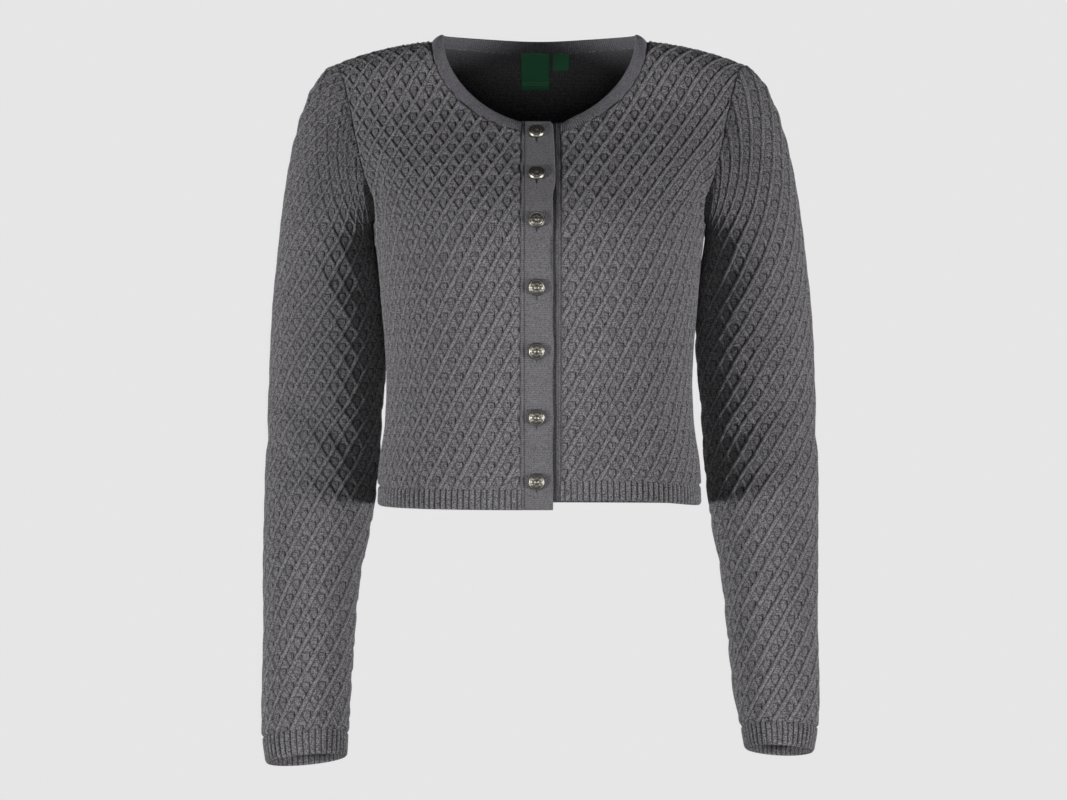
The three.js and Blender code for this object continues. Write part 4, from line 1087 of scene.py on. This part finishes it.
# The buttons from the neck down. Their rings are rows of the place's share of the radius, its width and its
# height.
buttons = {
    "heights": [-95.2, -135.4, -178.3, -237.3, -292.7, -351, -407.7],
    "x": -2.6,
    "radius": 7.5,
    "lift": 0.8,
    "dome": 4.6,
    "rings": [(0.86, 0.05, 0.5), (0.76, 0.035, -0.35), (0, 0.18, 0.45), (0.3, 0.05, -0.4)],
    "petals": 8,
    "beads": 28,
    "cellsOut": 28,
    "cellsRound": 64,
}
# The under band's yarn is the band yarn made darker: painted shade for the under band lying back behind the
# upper one.
shadedUnderYarn = {**bandYarn, "colour": "#727074", "shade": "#353437"}
linkingAt = bands["upperLeft"] + 3.6
bandKnit = stitchMaterial("fine plain knit of the bands", bandYarn, 1.3, 0.95, linking=linkingAt)
underKnit = stitchMaterial("fine rib knit of the under band", shadedUnderYarn, 1.3, 1.0, 2.2, 0.6)

# A button band: a strip up the centre front. The upper one's free edge waves out and in by the band's wave
# table, its seam edge has a raised cord beside a row of linking, and it is dented by the buttonholes.
waveAt = tableReader(bands, "waveZ")


def bandShell(name, left, right, sink, upper):
    spacing = bands["spacing"] * coarse
    columns, rows = cells((right - left) * 1.4, spacing), cells(bands["topRun"], spacing)
    run, share = np.meshgrid(
        np.linspace(0, bands["topRun"], rows + 1), np.linspace(0, 1, columns + 1), indexing="ij"
    )
    runs = runAt(buttons["x"], np.array(buttons["heights"]))
    x = mix(left, right, share)
    if upper:
        z = body(-1, turnAt(x, run), run)[..., 2]
        x = x + share**3 * waveAt("waveOut", np.clip(z, bands["waveZ"][0], bands["waveZ"][-1]))
        corner = smooth(run, bands["topRun"] - 4, bands["topRun"])
        x = mix(x, np.clip(x, left + 1.2, right - 1.6), corner)
    points = (body if upper else place)(-1, turnAt(x, run), run)
    normals = gridNormals(points, points * np.array([0, 1.0, 0]) - np.array([0, 0, 1e-3]))
    edge = np.minimum(x - x[:, :1], x[:, -1:] - x)
    ends = np.minimum(run, bands["topRun"] - run)
    depth = 0.5 * smooth(np.minimum(edge, ends), 0, 2.2) - 0.3
    if upper:
        depth += 0.3 * bell(x, left + 1.4, 1.0) - 0.4 * bell(x, linkingAt, 0.8)
        for at in runs:
            slit = bell(x, buttons["x"], 0.9) * smooth(run, at - 11.5, at - 9.5)
            depth -= 1.3 * slit * smooth(-run, -at - 6.5, -at - 4.5)
            lip = bell(np.abs(x - buttons["x"]), 1.9, 0.8) * smooth(run, at - 12.5, at - 9.5)
            depth += 0.35 * lip * smooth(-run, -at - 7, -at - 4.5)
    else:
        depth -= 1.3 * bell(x, bands["upperRight"] + 0.6, 1.8)
    outer = points + normals * (depth - sink)[..., None]
    inner = points - normals * (wall + sink + (0 if upper else 2.2))
    cloth = np.stack([x, run], axis=-1)
    knit = bandKnit if upper else underKnit
    return clothShell(name, outer, inner, cloth, [knit, knit], step=4)


pieces["band_buttonhole"] = bandShell(
    "knit_band_buttonhole", bands["upperLeft"] + 0.15, bands["upperRight"], 0, True
)
pieces["band_button"] = bandShell(
    "knit_band_button", bands["underLeft"], bands["underRight"] - 0.15, bands["sink"], False
)
print("stage: bands made")


# Cast metal, plated with silver that has darkened in the recesses: raised parts are cleaner and shinier.
def metalMaterial(name):
    material, add = newMaterial(name)
    across, up = clothCoordinates(add)
    grime = add("TexNoise", add("TexCoord", output="Object"), 700.0, 3.0)
    clean = add("Math MULTIPLY_ADD", grime, 0.35, add("Math SUBTRACT", add("MapRange", up, 0.0, 1.0), 0.15))
    silver = {
        "Base Color": add("Mix RGBA", clean, colour("#2b2a27"), colour("#8f8c84")),
        "Roughness": add("MapRange", clean, 0.0, 1.0, 0.6, 0.4),
        "Metallic": 1.0,
    }
    add("OutputMaterial", add("BsdfPrincipled", inputs=silver))
    return material


agedMetal = metalMaterial("cast metal with aged silver plating")


# A button: the height over its radius is a low rim, a ring and a dome, and the dome is pressed into petals
# by a wave round it. Its UV map's second number is how clean the metal is, which falls in the recesses.
def buttonShell(index, z):
    spokes = buttons["cellsRound"]
    run = runAt(buttons["x"], z)
    turn = turnAt(buttons["x"], run)
    at = body(-1, turn, run)
    normal = bodyNormal(-1, turn, run)
    right = unit(np.array([1.0, 0, 0]) - normal * normal[0])
    upward = np.cross(normal, right)
    angle = np.linspace(0, 2 * math.pi, spokes + 1)[None, :]
    share = np.linspace(0, 1, buttons["cellsOut"] + 1)[:, None]
    r = share * buttons["radius"]
    dome = buttons["dome"] * np.sqrt(np.clip(1 - (share / 1.06) ** 2, 0, 1)) ** 0.9
    ringRelief = sum(high * bell(share, at, width) for at, width, high in buttons["rings"])
    window = smooth(share, 0.22, 0.34) * (1 - smooth(share, 0.62, 0.72))
    petal = np.abs(np.cos(angle * buttons["petals"] / 2 + 0.3)) ** 0.7
    beads = 0.1 * np.cos(angle * buttons["beads"]) * bell(share, *buttons["rings"][0][:2])
    relief = ringRelief + beads + window * (0.3 * petal - 0.15)
    height = buttons["lift"] + 0.86 * dome + relief
    clean = np.clip(0.62 + relief * 1.1, 0, 1) + np.zeros(angle.shape)
    radial = np.cos(angle) * right[:, None, None] + np.sin(angle) * upward[:, None, None]
    radial = np.moveaxis(radial, 0, -1)[0]
    front = at + r[..., None] * radial[None] + (height + np.zeros(angle.shape))[..., None] * normal
    backRadius = np.array([1.0, 0.94, 0.3, 0.2, 0.2, 0.0])[:, None] * buttons["radius"]
    backHeight = np.array([0.9, 0.4, 0.4, 0.1, -1.9, -1.9])[:, None] * np.ones(angle.shape)
    behind = at + backRadius[..., None] * radial[None] + backHeight[..., None] * normal
    points = np.concatenate([front, behind])
    ids = np.arange(points.shape[0] * (spokes + 1)).reshape(points.shape[0], spokes + 1)
    ids[:, -1] = ids[:, 0]
    ids[0] = ids[0, 0]
    ids[-1] = ids[-1, 0]
    flat = np.arange(ids.size).reshape(ids.shape)
    faces, corners = [], []
    here, after = slice(None, -1), slice(1, None)
    for i in range(len(ids) - 1):
        cell = [(i, here), (i, after), (i + 1, after), (i + 1, here)]
        if i == 0:
            cell.pop(1)
        elif i == len(ids) - 2:
            cell.pop(2)
        faces += np.stack([ids[at] for at in cell], axis=-1).tolist()
        corners.append(np.stack([flat[at] for at in cell], axis=-1).ravel())
    value = np.concatenate([clean, np.full(behind.shape[:2], 0.25)])
    cloth = np.stack([0 * value, value], axis=-1).reshape(-1, 2)[np.concatenate(corners)]
    return meshObject(
        f"metal_button_{index}", points.reshape(-1, 3), faces, cloth, [agedMetal], np.zeros(len(faces))
    )


for index, z in enumerate(buttons["heights"], start=1):
    pieces[f"button_{index}"] = buttonShell(index, float(z))

# The bare labels inside the back of the neck. Lines are woven in at these shares of the height.
labels = [
    {"name": "label_main", "left": -17, "right": 9.5, "top": -10.8, "height": 31, "lines": [0.14, 0.2]},
    {"name": "label_size", "left": 13, "right": 28, "top": -11.2, "height": 14, "lines": []},
]


# Woven satin label: fine crosswise threads, and lighter woven lines at the given shares of its height.
def labelMaterial(name, lines):
    material, add = newMaterial(name)
    across, up = clothCoordinates(add)
    weave = add("Math SINE", add("Math MULTIPLY", up, 2 * math.pi / 0.5))
    warp = add("Math SINE", add("Math MULTIPLY", across, 2 * math.pi / 0.4))
    threads = add("Math MULTIPLY_ADD", add("Math MULTIPLY", weave, warp), 0.5, 0.5)
    stripe = 0.0
    for height in lines:
        off = add("Math ABSOLUTE", add("Math SUBTRACT", up, height))
        stripe = add("Math MAXIMUM", stripe, add("MapRange", off, 0.45, 0.2))
    plain = add("Mix RGBA", threads, colour("#17553a"), colour("#2b7a50"))
    satin = {
        "Base Color": add("Mix RGBA", stripe, plain, colour("#4f8a63")),
        "Roughness": 0.55,
        "Normal": add("Bump", inputs={"Height": threads, "Distance": 0.06 * mm, "Strength": 0.6}),
        "Sheen Weight": 0.2,
    }
    add("OutputMaterial", add("BsdfPrincipled", inputs=satin))
    return material


# A label hangs just inside the back: its grid follows the back's inner face where that is steep, and hangs
# at a slope of 0.7 where it isn't. Its free lower edge curls a little.
def labelShell(label):
    rows, columns = 24, 20
    z = np.linspace(label["top"] - label["height"], label["top"], rows + 1)[:, None]
    x = np.linspace(label["left"], label["right"], columns + 1)[None, :] + np.zeros(z.shape)
    low, high = np.full(x.shape, 250.0), np.full(x.shape, float(ridgeRun))
    target = z + np.zeros(x.shape) + 2.2
    run = halving(low, high, lambda r: body(1, turnAt(x, r), r)[..., 2] < target)
    points = body(1, turnAt(x, run), run)
    points[..., 1] = np.minimum(points[..., 1], points[-1:, :, 1] + 0.7 * (label["top"] - z))
    normals = gridNormals(points, points * np.array([0, 1.0, 0]))
    curl = 1.2 * (1 - (z - z[0]) / label["height"]) ** 2 + 0.25 * np.sin(x / 5.0)
    outer = points - normals * (wall + 0.9 + curl)[..., None]
    inner = points - normals * (wall + 0.9 + 0.5 + curl)[..., None]
    up = z - z[0] + np.zeros(x.shape)
    cloth = np.stack([x, up], axis=-1)
    lines = [share * label["height"] for share in label["lines"]]
    satin = labelMaterial(f"woven satin, {label['name']}", lines)
    return clothShell(f"woven_{label['name']}", outer, inner, cloth, [satin, satin], step=1)


for label in labels:
    pieces[label["name"]] = labelShell(label)
print("stage: buttons and labels made")

# Each piece stands for its node and rides on the body.
counts = [sum(len(face.vertices) - 2 for face in piece.data.polygons) for piece in pieces.values()]
print("triangles:", sum(counts), "in all,", max(counts), "in the largest piece")
shared = {"button": "buttons", "label": "labels"}  # slots that several nodes share, by how their names start
for node, piece in pieces.items():
    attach(piece, "root")
    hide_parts(node)

# The camera's place in millimetres, and lamps: name, place in metres, size, power and what they look at.
camera = {"place": (-5.4, -2500.0, -335.6), "lens": 91.7}
studio = {
    "paper": "#e6e6e6",
    "world": 0.035,
    "lamps": [
        ("left softbox", (-2.4, -1.4, -0.7), 0.8, 92, (0, 0, -0.3)),
        ("right softbox", (2.4, -1.4, -0.7), 0.8, 88, (0, 0, -0.3)),
        ("front softbox", (0, -3.0, -0.9), 1.2, 17, (0, 0, -0.3)),
        ("left back lamp", (-1.1, 2.1, 1.2), 0.8, 42, (0, 0, -0.3)),
        ("right back lamp", (1.1, 2.1, 1.2), 0.8, 42, (0, 0, -0.3)),
    ],
}

# Pale studio: a round room of pale paper that curves from floor to wall, soft light from the sides and the
# front, and two weaker lamps for the hidden side.
backdropMaterial, add = newMaterial("matt pale grey paper backdrop")
add("OutputMaterial", add("Emission", colour(studio["paper"]), 1.0))
profile = [(0.001, -0.9), (5.1, -0.9)]
profile += [(5.1 + 0.9 * math.sin(a), -0.9 * math.cos(a)) for a in np.linspace(0.1, math.pi / 2, 12)]
profile += [(6.0, 4.0), (0.001, 6.0)]
angles = np.linspace(0, 2 * math.pi, 49)[:-1]
vertices = [(radius * math.cos(a), radius * math.sin(a), z) for radius, z in profile for a in angles]
faces = [
    (48 * i + j, 48 * i + (j + 1) % 48, 48 * i + 48 + (j + 1) % 48, 48 * i + 48 + j)
    for i in range(len(profile) - 1)
    for j in range(48)
]
mesh = bpy.data.meshes.new("backdrop")
mesh.from_pydata(vertices, [], faces)
mesh.polygons.foreach_set("use_smooth", [True] * len(faces))
mesh.materials.append(backdropMaterial)
backdrop = bpy.data.objects.new("backdrop", mesh)
bpy.context.scene.collection.objects.link(backdrop)
backdrop.visible_diffuse = False
backdrop.visible_glossy = False
backdrop.visible_shadow = False

world = bpy.data.worlds.new("pale studio")
world.use_nodes = True
world.node_tree.nodes["Background"].inputs[0].default_value = (1, 1, 1, 1)
world.node_tree.nodes["Background"].inputs[1].default_value = studio["world"]
bpy.context.scene.world = world
bpy.context.scene.view_settings.view_transform = "Standard"
for name, place, size, power, aim in studio["lamps"]:
    lamp = bpy.data.lights.new(name, "AREA")
    lamp.shape = "DISK"
    lamp.size = size
    lamp.energy = power
    light = bpy.data.objects.new(name, lamp)
    light.location = place
    light.visible_camera = False
    way = np.array(aim) - np.array(place)
    light.rotation_euler = (math.atan2(math.hypot(way[0], way[1]), -way[2]), 0, math.atan2(-way[0], way[1]))
    bpy.context.scene.collection.objects.link(light)

lens = bpy.data.cameras.new("camera")
lens.lens = camera["lens"]
lens.sensor_width = 36
lens.clip_end = 20
view = bpy.data.objects.new("camera", lens)
view.location = [value * mm for value in camera["place"]]
view.rotation_euler = (math.pi / 2, 0, 0)
bpy.context.scene.collection.objects.link(view)
bpy.context.scene.camera = view
print("stage: studio made")
